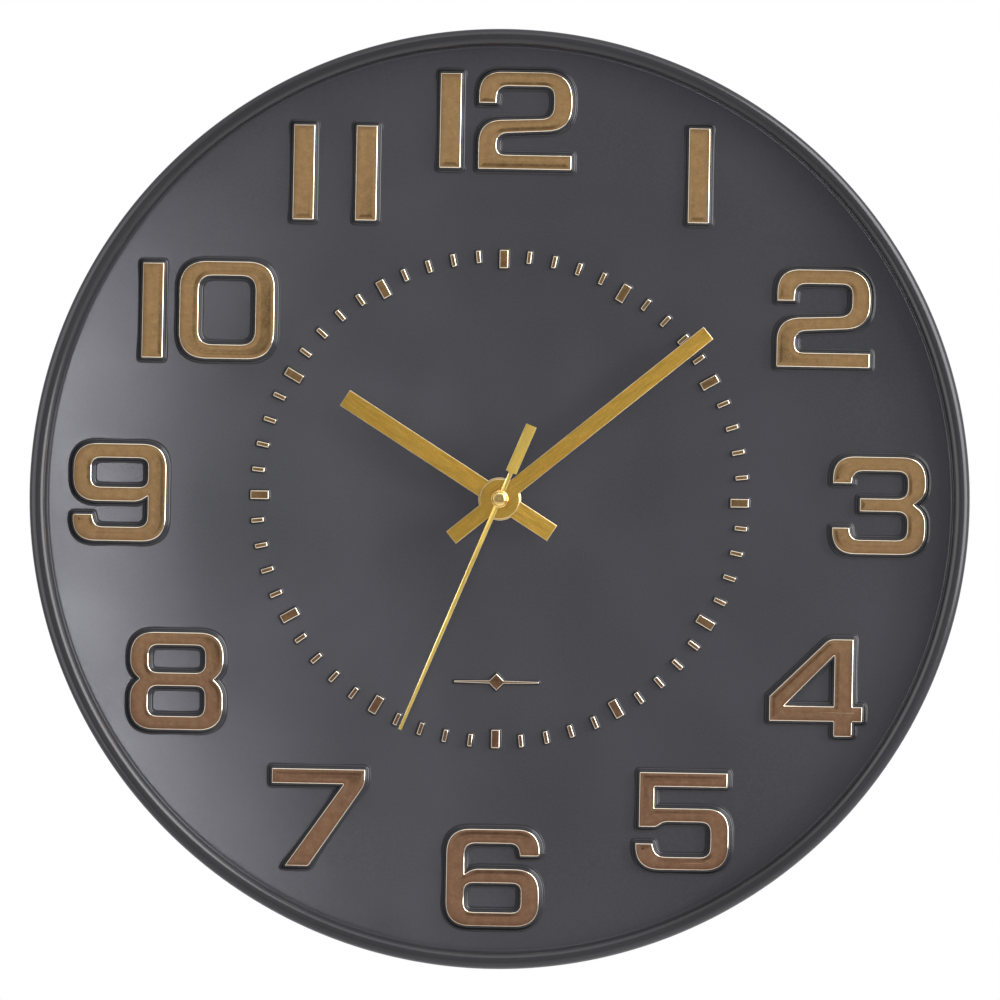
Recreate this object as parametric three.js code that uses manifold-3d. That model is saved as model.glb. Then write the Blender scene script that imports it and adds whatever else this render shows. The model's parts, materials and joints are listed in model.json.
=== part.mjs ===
// Round battery wall clock, twelve-inch class: a one-piece moulded case and dial with raised numerals,
// a boxed quartz movement behind the dial, and three hands in front of it.
// Millimetres, +Z up, the dial faces -Y. The origin is where the wall nail bears in the keyhole.

import * as THREE from 'three';
import { mergeVertices } from 'three/addons/utils/BufferGeometryUtils.js';
import Module from 'manifold-3d';

const wasm = await Module();
wasm.setup();

// ---- Driving dimensions ----

const CLOCK_R = 150;
const HANG_HEIGHT = 134; // from the dial's axis up to the nail
const TOUCH = 0.1; // gap between pieces that rest on each other

// Stations along Y: the wall is at 0 and the room is on the -Y side.
const WALL_Y = 0;
const RIM_FRONT_Y = -38;
const DIAL_Y = -32;
const PLATE = 2.2;
const DIAL_BACK_Y = DIAL_Y + PLATE;

// Case section
const DIAL_R = 144; // the flat dial ends here and the rim begins
const RIM_WALL = 2.4;
const BEAD_R = 2.4; // radius of the rounded front edge
const BEAD_LIMB_R = CLOCK_R - 0.3;
const RIM_FILLET = 0.9;
const RIM_ROOT = { rise: 1, run: 1 }; // chamfer in the rear corner between dial and rim
const CASE_SEGMENTS = 72;
const RIB_THICKNESS = 1.4;
const RIB_HEIGHT = 4;
const RIB_COUNT = 8;
const RIB_OUTER_R = DIAL_R + 1.8;
const RING_RIB_R = 100;
const RING_RIB_HEIGHT = 3;
const FENCE_HEIGHT = 2;

// Raised numerals and minute marks
const RELIEF = 1.5;
const SKIRT = 1.3; // how far a numeral's sloping side runs out
const MARK_RELIEF = 0.9;
const MARK_SKIRT = 0.45;
const FOIL = 0.15;
const FOIL_GAP = 0.05;
const EMBLEM_SKIRT = 0.3;
const MARK_OUTER_R = 79.6;
const HOUR_MARK = { width: 3.1, length: 6.0 };
const MINUTE_MARK = { width: 1.7, length: 4.1 };
const EMBLEM_Z = -58.5;

// Movement box
const BOX_HALF = 28;
const BOX_WALL = 1.2;
const BOX_FRONT_Y = DIAL_BACK_Y + 1.2;
const BOX_IN_Y = BOX_FRONT_Y + BOX_WALL;
const BOX_REAR_Y = BOX_FRONT_Y + 15.4;
const BOX_IN = BOX_HALF - BOX_WALL;
const COVER = 1.2;
const COVER_IN_Y = BOX_REAR_Y - COVER;
const BAY_WALL_Z = [-11.8, -10.6]; // the wall between the battery bay and the train

// Shafts
const BUSH_R = 3.95;
const BUSH_BORE_R = 2.6;
const HOUR_PIPE = { outer: 2.5, inner: 1.7 };
const MINUTE_PIPE = { outer: 1.6, inner: 0.95 };
const ARBOR_R = 0.55;
const RUNNING = 0.1; // radial clearance on a shaft

// Hands, with the time they show as degrees clockwise from twelve
const HAND_SHEET = 0.4;
const HOUR_HAND = { angle: 302.2, length: 59, tail: 20, width: 5.9, hubR: 6.85, frontY: -36.4 };
const MINUTE_HAND = { angle: 50.5, length: 85, tail: 19.8, width: 5.0, hubR: 6.4, frontY: -38.0 };
const SECOND_HAND = { angle: 202.4, length: 80, tail: 25.5, frontY: -39.6 };
const SECOND_BLADE = { root: 1.5, tip: 1.0, neck: 1.3, paddle: 3.6, paddleStart: 8 };
const BOSS_R = 2.8;

// Battery, one LR6 cell
const CELL_R = 6.8;
const SLEEVE_R = 7.1;
const CELL_LENGTH = 49.2;
const NUB = { r: 2.6, length: 1.2 };
const CELL_END_X = 26.2;
const CELL_Z = (-BOX_IN + BAY_WALL_Z[0]) / 2;
const CELL_Y = BOX_IN_Y + 0.2 + SLEEVE_R;

const DEG = Math.PI / 180;

// ---- Materials ----

const paint = (color, roughness, metalness) =>
  new THREE.MeshStandardMaterial({ color, roughness, metalness });

const MATERIALS = {
  case_plastic: paint(0x3f3f42, 0.5, 0),
  bronze_foil: paint(0xa67a50, 0.38, 0.9),
  hand_metal: paint(0xb08a45, 0.35, 1),
  boss_brass: paint(0xd9b25c, 0.12, 1),
  nut_brass: paint(0xb99a55, 0.3, 1),
  movement_plastic: paint(0x1e1e20, 0.55, 0),
  gear_plastic: paint(0xe8e4d8, 0.45, 0),
  arbor_steel: paint(0xb8bbc0, 0.25, 1),
  washer_rubber: paint(0x1a1a1a, 0.9, 0),
  board: paint(0x2f6b3c, 0.5, 0),
  chip_epoxy: paint(0x101012, 0.3, 0),
  crystal_can: paint(0xc9ccd0, 0.2, 1),
  coil_copper: paint(0xb4652d, 0.35, 0.8),
  bobbin_plastic: paint(0xd8d2bd, 0.5, 0),
  stator_iron: paint(0x8e9196, 0.4, 1),
  contact_steel: paint(0xc4c6c8, 0.25, 1),
  cell_steel: paint(0xc0c2c4, 0.25, 1),
  cell_sleeve: paint(0x35506e, 0.35, 0),
  knob_plastic: paint(0x2a2a2c, 0.5, 0),
};

// ---- Solids ----

// A closed three.js geometry as a manifold solid, turned right side out if it needs it.
function solid(geometry) {
  const bare = geometry.clone();
  bare.deleteAttribute('normal');
  bare.deleteAttribute('uv');
  const merged = mergeVertices(bare, 1e-4);
  const vertProperties = merged.attributes.position.array;
  const triVerts = new Uint32Array(merged.index.array);
  const made = new wasm.Manifold(new wasm.Mesh({ numProp: 3, vertProperties, triVerts }));
  if (made.volume() > 0) return made;
  triVerts.reverse();
  return new wasm.Manifold(new wasm.Mesh({ numProp: 3, vertProperties, triVerts }));
}

function join(...solids) {
  return solids.reduce((whole, piece) => whole.add(piece));
}

function cut(body, ...tools) {
  return tools.reduce((left, tool) => left.subtract(tool), body);
}

// A named mesh of one solid, added to a group.
function addMesh(group, name, body, material) {
  const { vertProperties, triVerts } = body.getMesh();
  const geometry = new THREE.BufferGeometry();
  geometry.setAttribute('position', new THREE.BufferAttribute(vertProperties, 3));
  geometry.setIndex(new THREE.BufferAttribute(triVerts, 1));
  const faceted = geometry.toNonIndexed();
  faceted.computeVertexNormals();
  const mesh = new THREE.Mesh(faceted, MATERIALS[material].clone());
  mesh.name = name;
  group.add(mesh);
  return mesh;
}

// A box between two corners.
function box(x, y, z) {
  const geometry = new THREE.BoxGeometry(x[1] - x[0], y[1] - y[0], z[1] - z[0]);
  geometry.translate((x[0] + x[1]) / 2, (y[0] + y[1]) / 2, (z[0] + z[1]) / 2);
  return solid(geometry);
}

// A disc or rod along Y between two stations, centred at (x, z).
function rod(r, y0, y1, x = 0, z = 0, segments = 18) {
  const geometry = new THREE.CylinderGeometry(r, r, Math.abs(y1 - y0), segments);
  geometry.translate(x, (y0 + y1) / 2, z);
  return solid(geometry);
}

function tube(outer, inner, y0, y1, x = 0, z = 0, segments = 18) {
  const margin = 1;
  const bore = rod(inner, Math.min(y0, y1) - margin, Math.max(y0, y1) + margin, x, z, segments);
  return cut(rod(outer, y0, y1, x, z, segments), bore);
}

// A shape drawn in the dial's plane (x right, y up), as a plate from rearY forward to frontY.
function plate(shape, rearY, frontY) {
  const geometry = new THREE.ExtrudeGeometry(shape, {
    depth: rearY - frontY,
    bevelEnabled: false,
    curveSegments: 5,
  });
  geometry.rotateX(Math.PI / 2);
  geometry.translate(0, rearY, 0);
  return solid(geometry);
}

// A raised shape with sloping sides. Its foot is buried in the plate behind the dial's face.
function relief(shape, height, skirt) {
  const core = 0.2;
  const geometry = new THREE.ExtrudeGeometry(shape, {
    depth: core,
    bevelEnabled: true,
    bevelThickness: height,
    bevelSize: skirt,
    bevelSegments: 1,
  });
  geometry.rotateX(Math.PI / 2);
  geometry.translate(0, DIAL_Y + core, 0);
  return solid(geometry);
}

// ---- Outlines ----

// Adds the corner points of a closed outline to a path. Each vertex is [x, y, radius].
function traceRounded(path, vertices) {
  const count = vertices.length;
  for (let i = 0; i < count; i += 1) {
    const [x, y, radius = 0] = vertices[i];
    const corner = new THREE.Vector2(x, y);
    const before = new THREE.Vector2(...vertices[(i + count - 1) % count].slice(0, 2));
    const after = new THREE.Vector2(...vertices[(i + 1) % count].slice(0, 2));
    const start = corner.clone().add(before.sub(corner).setLength(radius));
    const end = corner.clone().add(after.sub(corner).setLength(radius));
    const steps = radius > 0 ? Math.max(1, Math.ceil(radius / 2.4)) : 0;
    const bend = new THREE.QuadraticBezierCurve(start, corner, end);
    for (let step = 0; step <= steps; step += 1) {
      const point = steps > 0 ? bend.getPoint(step / steps) : corner;
      if (i === 0 && step === 0) path.moveTo(point.x, point.y);
      else path.lineTo(point.x, point.y);
    }
  }
  path.closePath();
  return path;
}

// Outlines and holes are both listed clockwise; a hole is traced the other way round.
function outline(vertices, holes = []) {
  const shape = traceRounded(new THREE.Shape(), vertices);
  shape.holes = holes.map((hole) => traceRounded(new THREE.Path(), [...hole].reverse()));
  return shape;
}

function rectangle(x0, x1, y0, y1, radius = 0) {
  return [
    [x0, y0, radius],
    [x0, y1, radius],
    [x1, y1, radius],
    [x1, y0, radius],
  ];
}

function moved(vertices, x, y, turn = 1) {
  return vertices.map(([u, v, radius]) => [x + turn * u, y + turn * v, radius]);
}

// ---- Numerals ----

// Squared extended figures, about 30 wide and 31 high, each drawn about its own centre.
const WIDE = 15; // half width of a figure
const TALL = 15.7; // half height
const UPRIGHT = 6.0; // stroke width of an upright
const LEVEL = 4.8; // stroke width of a level bar
const BEND = 8; // outer corner
const CROOK = 3.3; // inner corner
const CRISP = 0.4; // corner of a cut end
const IN_X = WIDE - UPRIGHT;
const IN_Y = TALL - LEVEL;

const FIGURES = {
  bar: { edge: rectangle(-3.5, 3.5, -15.3, 15.3, CRISP) },
  zero: {
    edge: rectangle(-WIDE - 0.3, WIDE + 0.3, -TALL, TALL, BEND + 1),
    holes: [rectangle(-IN_X, IN_X, -IN_Y, IN_Y, CROOK + 1.2)],
  },
  two: {
    edge: [
      [-WIDE, -TALL, CRISP],
      [-WIDE, 0, BEND - 0.5],
      [IN_X, 0.9, 4],
      [IN_X, IN_Y, CROOK],
      [-IN_X, IN_Y, CROOK],
      [-IN_X - 0.3, 5.4],
      [-WIDE, 5.4],
      [-WIDE, TALL, BEND - 0.5],
      [WIDE, TALL, BEND + 1],
      [WIDE, -3, BEND],
      [-IN_X, -4.3, CROOK],
      [-IN_X, -IN_Y, 2.6],
      [WIDE, -IN_Y, CRISP],
      [WIDE, -TALL, CRISP],
    ],
  },
  three: {
    edge: [
      [-WIDE, 6.9],
      [-WIDE, TALL, BEND - 0.8],
      [WIDE, TALL, BEND],
      [WIDE, 3, 3.2],
      [WIDE - 3.8, 0.5],
      [WIDE, -2.4, 3.2],
      [WIDE, -TALL, BEND],
      [-WIDE, -TALL, BEND - 0.5],
      [-WIDE, -7.1],
      [-IN_X - 0.4, -7.1],
      [-IN_X, -IN_Y, 2.8],
      [IN_X, -IN_Y, CROOK],
      [IN_X, -2, CROOK],
      [-6.3, -2, CRISP],
      [-6.3, 2.4, CRISP],
      [IN_X, 2.4, CROOK],
      [IN_X, IN_Y, CROOK],
      [-IN_X + 0.4, IN_Y, CROOK],
      [-IN_X + 0.2, 6.9],
    ],
  },
  four: {
    edge: [
      [-WIDE, -2.9],
      [3.9, TALL, 1.6],
      [11.8, TALL, CRISP],
      [11.8, -5.9],
      [WIDE, -5.9, CRISP],
      [WIDE, -10.9, CRISP],
      [11.8, -10.9],
      [11.8, -TALL, 0.8],
      [5.6, -TALL, 0.8],
      [5.6, -10.9],
      [-WIDE, -10.9, CRISP],
    ],
    holes: [
      [
        [-10, -5.8],
        [5.6, 10.2],
        [5.6, -5.8],
      ],
    ],
  },
  five: {
    edge: [
      [-14, -2],
      [-14, TALL, CRISP],
      [14.3, TALL, CRISP],
      [14.3, IN_Y, CRISP],
      [-IN_X, IN_Y],
      [-IN_X, 4.3],
      [WIDE, 4.3, BEND - 0.5],
      [WIDE, -TALL, BEND],
      [-WIDE, -TALL, BEND],
      [-WIDE, -7.1],
      [-IN_X - 0.4, -7.1],
      [-IN_X + 0.4, -IN_Y - 0.4, CROOK],
      [IN_X, -IN_Y - 0.4, CROOK],
      [IN_X, -0.3, CROOK],
      [-6.2, -0.3, 1.6],
      [-8.3, -2, 1],
    ],
  },
  six: {
    edge: [
      [-WIDE, TALL, BEND],
      [WIDE, TALL, BEND - 0.5],
      [WIDE, 7, 0.9],
      [IN_X - 0.4, 7],
      [IN_X - 1.2, IN_Y, 2.4],
      [-IN_X, IN_Y, CROOK],
      [-IN_X, 1.2],
      [-6.5, 3, 2.2],
      [WIDE, 3, BEND],
      [WIDE, -TALL, BEND],
      [-WIDE, -TALL, BEND],
    ],
    holes: [rectangle(-IN_X, IN_X, -IN_Y, -1.8, 2.8)],
  },
  seven: {
    edge: [
      [-WIDE, TALL, CRISP],
      [WIDE, TALL, 0.6],
      [WIDE, 10.7, 2],
      [-2.8, -TALL, 0.6],
      [-10.6, -TALL, 0.6],
      [7.9, 10.7],
      [-WIDE, 10.7, CRISP],
    ],
  },
  eight: {
    edge: [
      [-WIDE, TALL, BEND],
      [WIDE, TALL, BEND],
      [WIDE, 3.3, 3.2],
      [WIDE - 3, 0.6],
      [WIDE, -2.1, 3.2],
      [WIDE, -TALL, BEND],
      [-WIDE, -TALL, BEND],
      [-WIDE, -2.1, 3.2],
      [-WIDE + 3, 0.6],
      [-WIDE, 3.3, 3.2],
    ],
    holes: [rectangle(-IN_X, IN_X, 2.8, 11.4, 3), rectangle(-IN_X, IN_X, -11.1, -1.7, 3)],
  },
};

// Where each figure's centre lies from the dial's axis. A nine is a six turned half round.
const NUMERALS = [
  { name: 'foil_12_one', figure: 'bar', x: -17.8, z: 120.7 },
  { name: 'foil_12_two', figure: 'two', x: 6.1, z: 121 },
  { name: 'foil_1', figure: 'bar', x: 61.9, z: 104.4 },
  { name: 'foil_2', figure: 'two', x: 102.5, z: 59.5 },
  { name: 'foil_3', figure: 'three', x: 121.3, z: 0 },
  { name: 'foil_4', figure: 'four', x: 102.2, z: -58.5 },
  { name: 'foil_5', figure: 'five', x: 60.2, z: -102 },
  { name: 'foil_6', figure: 'six', x: -0.1, z: -121.1 },
  { name: 'foil_7', figure: 'seven', x: -56.3, z: -102.8 },
  { name: 'foil_8', figure: 'eight', x: -102.2, z: -60 },
  { name: 'foil_9', figure: 'six', x: -121.5, z: 0, turn: -1 },
  { name: 'foil_10_one', figure: 'bar', x: -111.9, z: 58.4 },
  { name: 'foil_10_zero', figure: 'zero', x: -88.2, z: 58.8 },
  { name: 'foil_11_left', figure: 'bar', x: -64.4, z: 103.4 },
  { name: 'foil_11_right', figure: 'bar', x: -44.4, z: 103.4 },
];

function numeralShape({ figure, x, z, turn = 1 }) {
  const { edge, holes = [] } = FIGURES[figure];
  return outline(
    moved(edge, x, z, turn),
    holes.map((hole) => moved(hole, x, z, turn)),
  );
}

// A small plain emblem: a lozenge on a bar that tapers to each end.
function emblemShape() {
  const reach = 13.5;
  const bar = 0.45;
  const lozenge = 2.7;
  const tip = 0.25;
  return outline(
    moved(
      [
        [-reach, -tip],
        [-reach, tip],
        [-lozenge + bar, bar],
        [0, lozenge],
        [lozenge - bar, bar],
        [reach, tip],
        [reach, -tip],
        [lozenge - bar, -bar],
        [0, -lozenge],
        [-lozenge + bar, -bar],
      ],
      0,
      EMBLEM_Z,
    ),
  );
}

// The raised mark at a minute, sloped on all four sides.
function markRelief(minute) {
  const { width, length } = minute % 5 === 0 ? HOUR_MARK : MINUTE_MARK;
  const inner = MARK_OUTER_R - length;
  const shape = outline(rectangle(-width / 2, width / 2, inner, MARK_OUTER_R));
  return relief(shape, MARK_RELIEF, MARK_SKIRT).rotate([0, minute * 6, 0]);
}

// ---- Case ----

// The flat dial with its raised numerals, minute marks and emblem, and the hole for the bush.
function dialBody() {
  const disc = solid(
    new THREE.LatheGeometry(
      [
        new THREE.Vector2(0, DIAL_Y),
        new THREE.Vector2(DIAL_R, DIAL_Y),
        new THREE.Vector2(DIAL_R, DIAL_BACK_Y),
        new THREE.Vector2(0, DIAL_BACK_Y),
      ],
      CASE_SEGMENTS,
    ),
  );
  const marks = Array.from({ length: 60 }, (_, minute) => markRelief(minute));
  const figures = NUMERALS.map((numeral) => relief(numeralShape(numeral), RELIEF, SKIRT));
  const emblem = relief(emblemShape(), MARK_RELIEF, EMBLEM_SKIRT);
  const bushHole = rod(BUSH_R + 0.15, DIAL_Y - 1, DIAL_BACK_Y + 1, 0, 0, 32);
  return cut(join(disc, emblem, ...figures, ...marks), bushHole);
}

// The turned rim round the dial: a small fillet, the rounded front bead and the skirt to the wall.
function rimBody() {
  const innerR = DIAL_R + TOUCH;
  const skirtIn = CLOCK_R - RIM_WALL;
  const beadX = BEAD_LIMB_R - BEAD_R;
  const beadY = RIM_FRONT_Y + BEAD_R;
  const filletX = beadX - BEAD_R - RIM_FILLET;
  const filletY = DIAL_Y - RIM_FILLET;
  const start = new THREE.Vector2(innerR, DIAL_BACK_Y);
  const points = [start, new THREE.Vector2(innerR, DIAL_Y)];
  for (const turn of [Math.PI / 4, Math.PI / 2]) {
    const x = filletX + RIM_FILLET * Math.sin(turn);
    points.push(new THREE.Vector2(x, filletY + RIM_FILLET * Math.cos(turn)));
  }
  const beadSteps = 5;
  for (let step = 0; step <= beadSteps; step += 1) {
    const turn = Math.PI - (step * Math.PI) / beadSteps;
    points.push(new THREE.Vector2(beadX + BEAD_R * Math.cos(turn), beadY - BEAD_R * Math.sin(turn)));
  }
  points.push(new THREE.Vector2(CLOCK_R, WALL_Y));
  points.push(new THREE.Vector2(skirtIn, WALL_Y));
  points.push(new THREE.Vector2(skirtIn - 0.5, DIAL_BACK_Y + RIM_ROOT.rise));
  points.push(new THREE.Vector2(skirtIn - 0.5 - RIM_ROOT.run, DIAL_BACK_Y));
  points.push(start);
  return solid(new THREE.LatheGeometry(points, CASE_SEGMENTS));
}

// Stiffening ribs behind the dial, joined to the low square fence that the movement sits in.
function caseRibs() {
  const rootY = DIAL_BACK_Y + TOUCH;
  const fenceIn = BOX_HALF + 0.6;
  const fenceOut = fenceIn + RIB_THICKNESS;
  const innerR = fenceOut + RIB_THICKNESS;
  const ribs = [];
  for (let i = 0; i < RIB_COUNT; i += 1) {
    const rib = box(
      [-RIB_THICKNESS / 2, RIB_THICKNESS / 2],
      [rootY, DIAL_BACK_Y + RIB_HEIGHT],
      [innerR, RIB_OUTER_R],
    );
    ribs.push(rib.rotate([0, (360 / RIB_COUNT) * (i + 0.5), 0]));
  }
  const ringTop = DIAL_BACK_Y + RING_RIB_HEIGHT;
  const ring = tube(RING_RIB_R + RIB_THICKNESS, RING_RIB_R, rootY, ringTop, 0, 0, 48);
  const fence = plate(
    outline(rectangle(-fenceOut, fenceOut, -fenceOut, fenceOut, 2), [
      rectangle(-fenceIn, fenceIn, -fenceIn, fenceIn, 1),
    ]),
    DIAL_BACK_Y + FENCE_HEIGHT,
    rootY,
  );
  return join(ring, fence, ...ribs);
}

// The hanger: a plate at the rear with a keyhole, on two side walls that reach the dial.
function hanger() {
  const halfWidth = 13;
  const wall = 1.6;
  const lowZ = HANG_HEIGHT - 17;
  const highZ = DIAL_R + 1.2;
  const rearY = WALL_Y - 0.4;
  const frontY = rearY - 2;
  const slotR = 2.4;
  const holeR = 4.8;
  const slotTop = HANG_HEIGHT - slotR;
  const holeZ = HANG_HEIGHT - 11;
  const face = box([-halfWidth, halfWidth], [frontY, rearY], [lowZ, highZ]);
  const sides = [-1, 1].map((side) => {
    const x = [side * halfWidth, side * (halfWidth - wall)].sort((a, b) => a - b);
    return box(x, [DIAL_BACK_Y + TOUCH, rearY], [lowZ, highZ]);
  });
  return cut(
    join(face, ...sides),
    rod(slotR, frontY - 1, rearY + 1, 0, slotTop),
    box([-slotR, slotR], [frontY - 1, rearY + 1], [holeZ, slotTop]),
    rod(holeR, frontY - 1, rearY + 1, 0, holeZ),
  );
}

// ---- Wheels ----

// A toothed outline. Angles run clockwise from +Z as the dial is read; phase is one tooth's middle.
function toothed(teeth, module, phase) {
  const r = (teeth * module) / 2;
  const tip = r + 0.75 * module;
  const root = r - 1.1 * module;
  const pitch = (2 * Math.PI) / teeth;
  const corners = [
    [root, -0.27],
    [tip, -0.11],
    [tip, 0.11],
    [root, 0.27],
  ];
  const points = [];
  for (let tooth = 0; tooth < teeth; tooth += 1) {
    for (const [radius, part] of corners) {
      const angle = phase + (tooth + part) * pitch;
      points.push(new THREE.Vector2(radius * Math.sin(angle), radius * Math.cos(angle)));
    }
  }
  return new THREE.Shape(points);
}

function wheel(teeth, module, phase, rearY, frontY, x = 0, z = 0) {
  return plate(toothed(teeth, module, phase), rearY, frontY).translate([x, 0, z]);
}

// The phase that puts a wheel in mesh with a neighbour. heading is the way from the neighbour to it.
function meshPhase(teeth, heading, neighbourTeeth, neighbourPhase) {
  const pitch = (2 * Math.PI) / teeth;
  const neighbourPitch = (2 * Math.PI) / neighbourTeeth;
  const share = (heading - neighbourPhase) / neighbourPitch;
  return heading + Math.PI - pitch * (0.5 - share);
}

function placeAt(origin, heading, distance) {
  return {
    x: origin.x + distance * Math.sin(heading),
    z: origin.z + distance * Math.cos(heading),
  };
}

// Tooth counts: rotor to seconds is 30, seconds to centre wheel is 60, minutes to hours is 12.
const TEETH = {
  rotor: 8,
  fifth: 48,
  fifthPinion: 8,
  seconds: 40,
  secondsPinion: 8,
  third: 60,
  thirdPinion: 8,
  centre: 64,
  cannon: 10,
  motion: 30,
  motionPinion: 8,
  hour: 32,
  knob: 10,
};
const HAND_MODULE = 0.45;
const HAND_DISTANCE = (HAND_MODULE * (TEETH.cannon + TEETH.motion)) / 2;
const THIRD_DISTANCE = 9.5;
const THIRD_MODULE = (2 * THIRD_DISTANCE) / (TEETH.third + TEETH.secondsPinion);
const CENTRE_MODULE = (2 * THIRD_DISTANCE) / (TEETH.centre + TEETH.thirdPinion);
const FIFTH_MODULE = 0.36;
const FIFTH_DISTANCE = (FIFTH_MODULE * (TEETH.seconds + TEETH.fifthPinion)) / 2;
const ROTOR_MODULE = 0.3;
const ROTOR_DISTANCE = (ROTOR_MODULE * (TEETH.fifth + TEETH.rotor)) / 2;

// Ways from one shaft to the next, clockwise from +Z.
const MOTION_HEADING = -90 * DEG;
const KNOB_HEADING = -110 * DEG;
const THIRD_HEADING = 60 * DEG;
const FIFTH_HEADING = -30 * DEG;
const ROTOR_HEADING = -20 * DEG;

const CENTRE = { x: 0, z: 0 };
const MOTION_AT = placeAt(CENTRE, MOTION_HEADING, HAND_DISTANCE);
const KNOB_AT = placeAt(MOTION_AT, KNOB_HEADING, HAND_DISTANCE);
const THIRD_AT = placeAt(CENTRE, THIRD_HEADING, THIRD_DISTANCE);
const FIFTH_AT = placeAt(CENTRE, FIFTH_HEADING, FIFTH_DISTANCE);
const ROTOR_AT = placeAt(FIFTH_AT, ROTOR_HEADING, ROTOR_DISTANCE);

const MOTION_PHASE = meshPhase(TEETH.motion, MOTION_HEADING, TEETH.cannon, 0);
const MOTION_PINION_PHASE = meshPhase(TEETH.motionPinion, MOTION_HEADING, TEETH.hour, 0);
const KNOB_PHASE = meshPhase(TEETH.knob, KNOB_HEADING, TEETH.motion, MOTION_PHASE);
const THIRD_PHASE = meshPhase(TEETH.third, THIRD_HEADING, TEETH.secondsPinion, 0);
const THIRD_PINION_PHASE = meshPhase(TEETH.thirdPinion, THIRD_HEADING, TEETH.centre, 0);
const FIFTH_PINION_PHASE = meshPhase(TEETH.fifthPinion, FIFTH_HEADING, TEETH.seconds, 0);
const ROTOR_PHASE = meshPhase(TEETH.rotor, ROTOR_HEADING, TEETH.fifth, 0);

// Layers of the train along Y, each [front, rear].
const LAYER = {
  bushFlange: [BOX_IN_Y + TOUCH, -26.5],
  hour: [-26.3, -25.5],
  motion: [-25.1, -24.3],
  cannonSeat: [-24.2, -23.9],
  centre: [-23.7, -23.0],
  bridge: [-22.5, -21.9],
  third: [-21.6, -20.9],
  stator: [-20.5, -19.6],
  seconds: [-19.9, -19.2],
  fifth: [-18.2, -17.5],
  board: [-16.6, -15.6],
};
const OVERHANG = 0.1; // a pinion is this much longer than the wheel it drives, at each end
const PIVOT_FRONT_Y = BOX_IN_Y + TOUCH;
const PIVOT_REAR_Y = COVER_IN_Y - TOUCH;
const BRIDGE_TOP_Y = LAYER.bridge[1] + TOUCH;

function wheelOn(layer, teeth, module, phase, at = CENTRE) {
  return wheel(teeth, module, phase, layer[1], layer[0], at.x, at.z);
}

function pinionOn(layer, teeth, module, phase, at = CENTRE) {
  return wheel(teeth, module, phase, layer[1] + OVERHANG, layer[0] - OVERHANG, at.x, at.z);
}

// The hour wheel and the pipe that carries the hour hand.
function hourWheel() {
  const pipeEnd = HOUR_HAND.frontY - 0.2;
  return cut(
    join(
      wheelOn(LAYER.hour, TEETH.hour, HAND_MODULE, 0),
      rod(HOUR_PIPE.outer, LAYER.hour[1], pipeEnd),
    ),
    rod(HOUR_PIPE.inner, pipeEnd - 1, LAYER.hour[1] + 1),
  );
}

// The motion wheel, which brings the minute pinion down to the hour wheel.
function motionWheel() {
  const { x, z } = MOTION_AT;
  return join(
    wheelOn(LAYER.motion, TEETH.motion, HAND_MODULE, MOTION_PHASE, MOTION_AT),
    wheel(TEETH.motionPinion, HAND_MODULE, MOTION_PINION_PHASE, LAYER.motion[0] + 0.1, -26.4, x, z),
    rod(0.6, PIVOT_FRONT_Y, LAYER.centre[0] - 0.2, x, z, 12),
  );
}

// The minute pipe with its pinion, and the seat that the centre wheel rubs on.
function cannon() {
  const pipeEnd = MINUTE_HAND.frontY - 0.3;
  const rearEnd = -22.6;
  return cut(
    join(
      rod(MINUTE_PIPE.outer, pipeEnd, rearEnd, 0, 0, 20),
      pinionOn(LAYER.motion, TEETH.cannon, HAND_MODULE, 0),
      rod(2.4, LAYER.cannonSeat[0] - 0.05, LAYER.cannonSeat[1], 0, 0, 20),
    ),
    rod(MINUTE_PIPE.inner, pipeEnd - 1, rearEnd + 1, 0, 0, 16),
  );
}

function centreWheel() {
  const bore = MINUTE_PIPE.outer + RUNNING;
  return cut(
    wheelOn(LAYER.centre, TEETH.centre, CENTRE_MODULE, 0),
    rod(bore, LAYER.centre[0] - 1, LAYER.centre[1] + 1, 0, 0, 20),
  );
}

function thirdWheel() {
  const { x, z } = THIRD_AT;
  return join(
    wheelOn(LAYER.third, TEETH.third, THIRD_MODULE, THIRD_PHASE, THIRD_AT),
    pinionOn(LAYER.centre, TEETH.thirdPinion, CENTRE_MODULE, THIRD_PINION_PHASE, THIRD_AT),
    rod(0.5, PIVOT_FRONT_Y, PIVOT_REAR_Y, x, z, 12),
  );
}

// The long centre arbor that carries the second hand, with its pinion and wheel.
function secondsWheel() {
  return join(
    wheelOn(LAYER.seconds, TEETH.seconds, FIFTH_MODULE, 0),
    pinionOn(LAYER.third, TEETH.secondsPinion, THIRD_MODULE, 0),
    rod(ARBOR_R, SECOND_HAND.frontY - 0.3, PIVOT_REAR_Y, 0, 0, 12),
  );
}

function fifthWheel() {
  const { x, z } = FIFTH_AT;
  return join(
    wheelOn(LAYER.fifth, TEETH.fifth, ROTOR_MODULE, 0, FIFTH_AT),
    pinionOn(LAYER.seconds, TEETH.fifthPinion, FIFTH_MODULE, FIFTH_PINION_PHASE, FIFTH_AT),
    rod(0.45, BRIDGE_TOP_Y, PIVOT_REAR_Y, x, z, 12),
  );
}

const MAGNET_R = 2.8;

function rotor() {
  const { x, z } = ROTOR_AT;
  return join(
    rod(MAGNET_R, -21.3, -19.0, x, z, 20),
    pinionOn(LAYER.fifth, TEETH.rotor, ROTOR_MODULE, ROTOR_PHASE, ROTOR_AT),
    rod(0.4, BRIDGE_TOP_Y, PIVOT_REAR_Y, x, z, 12),
  );
}

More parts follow.
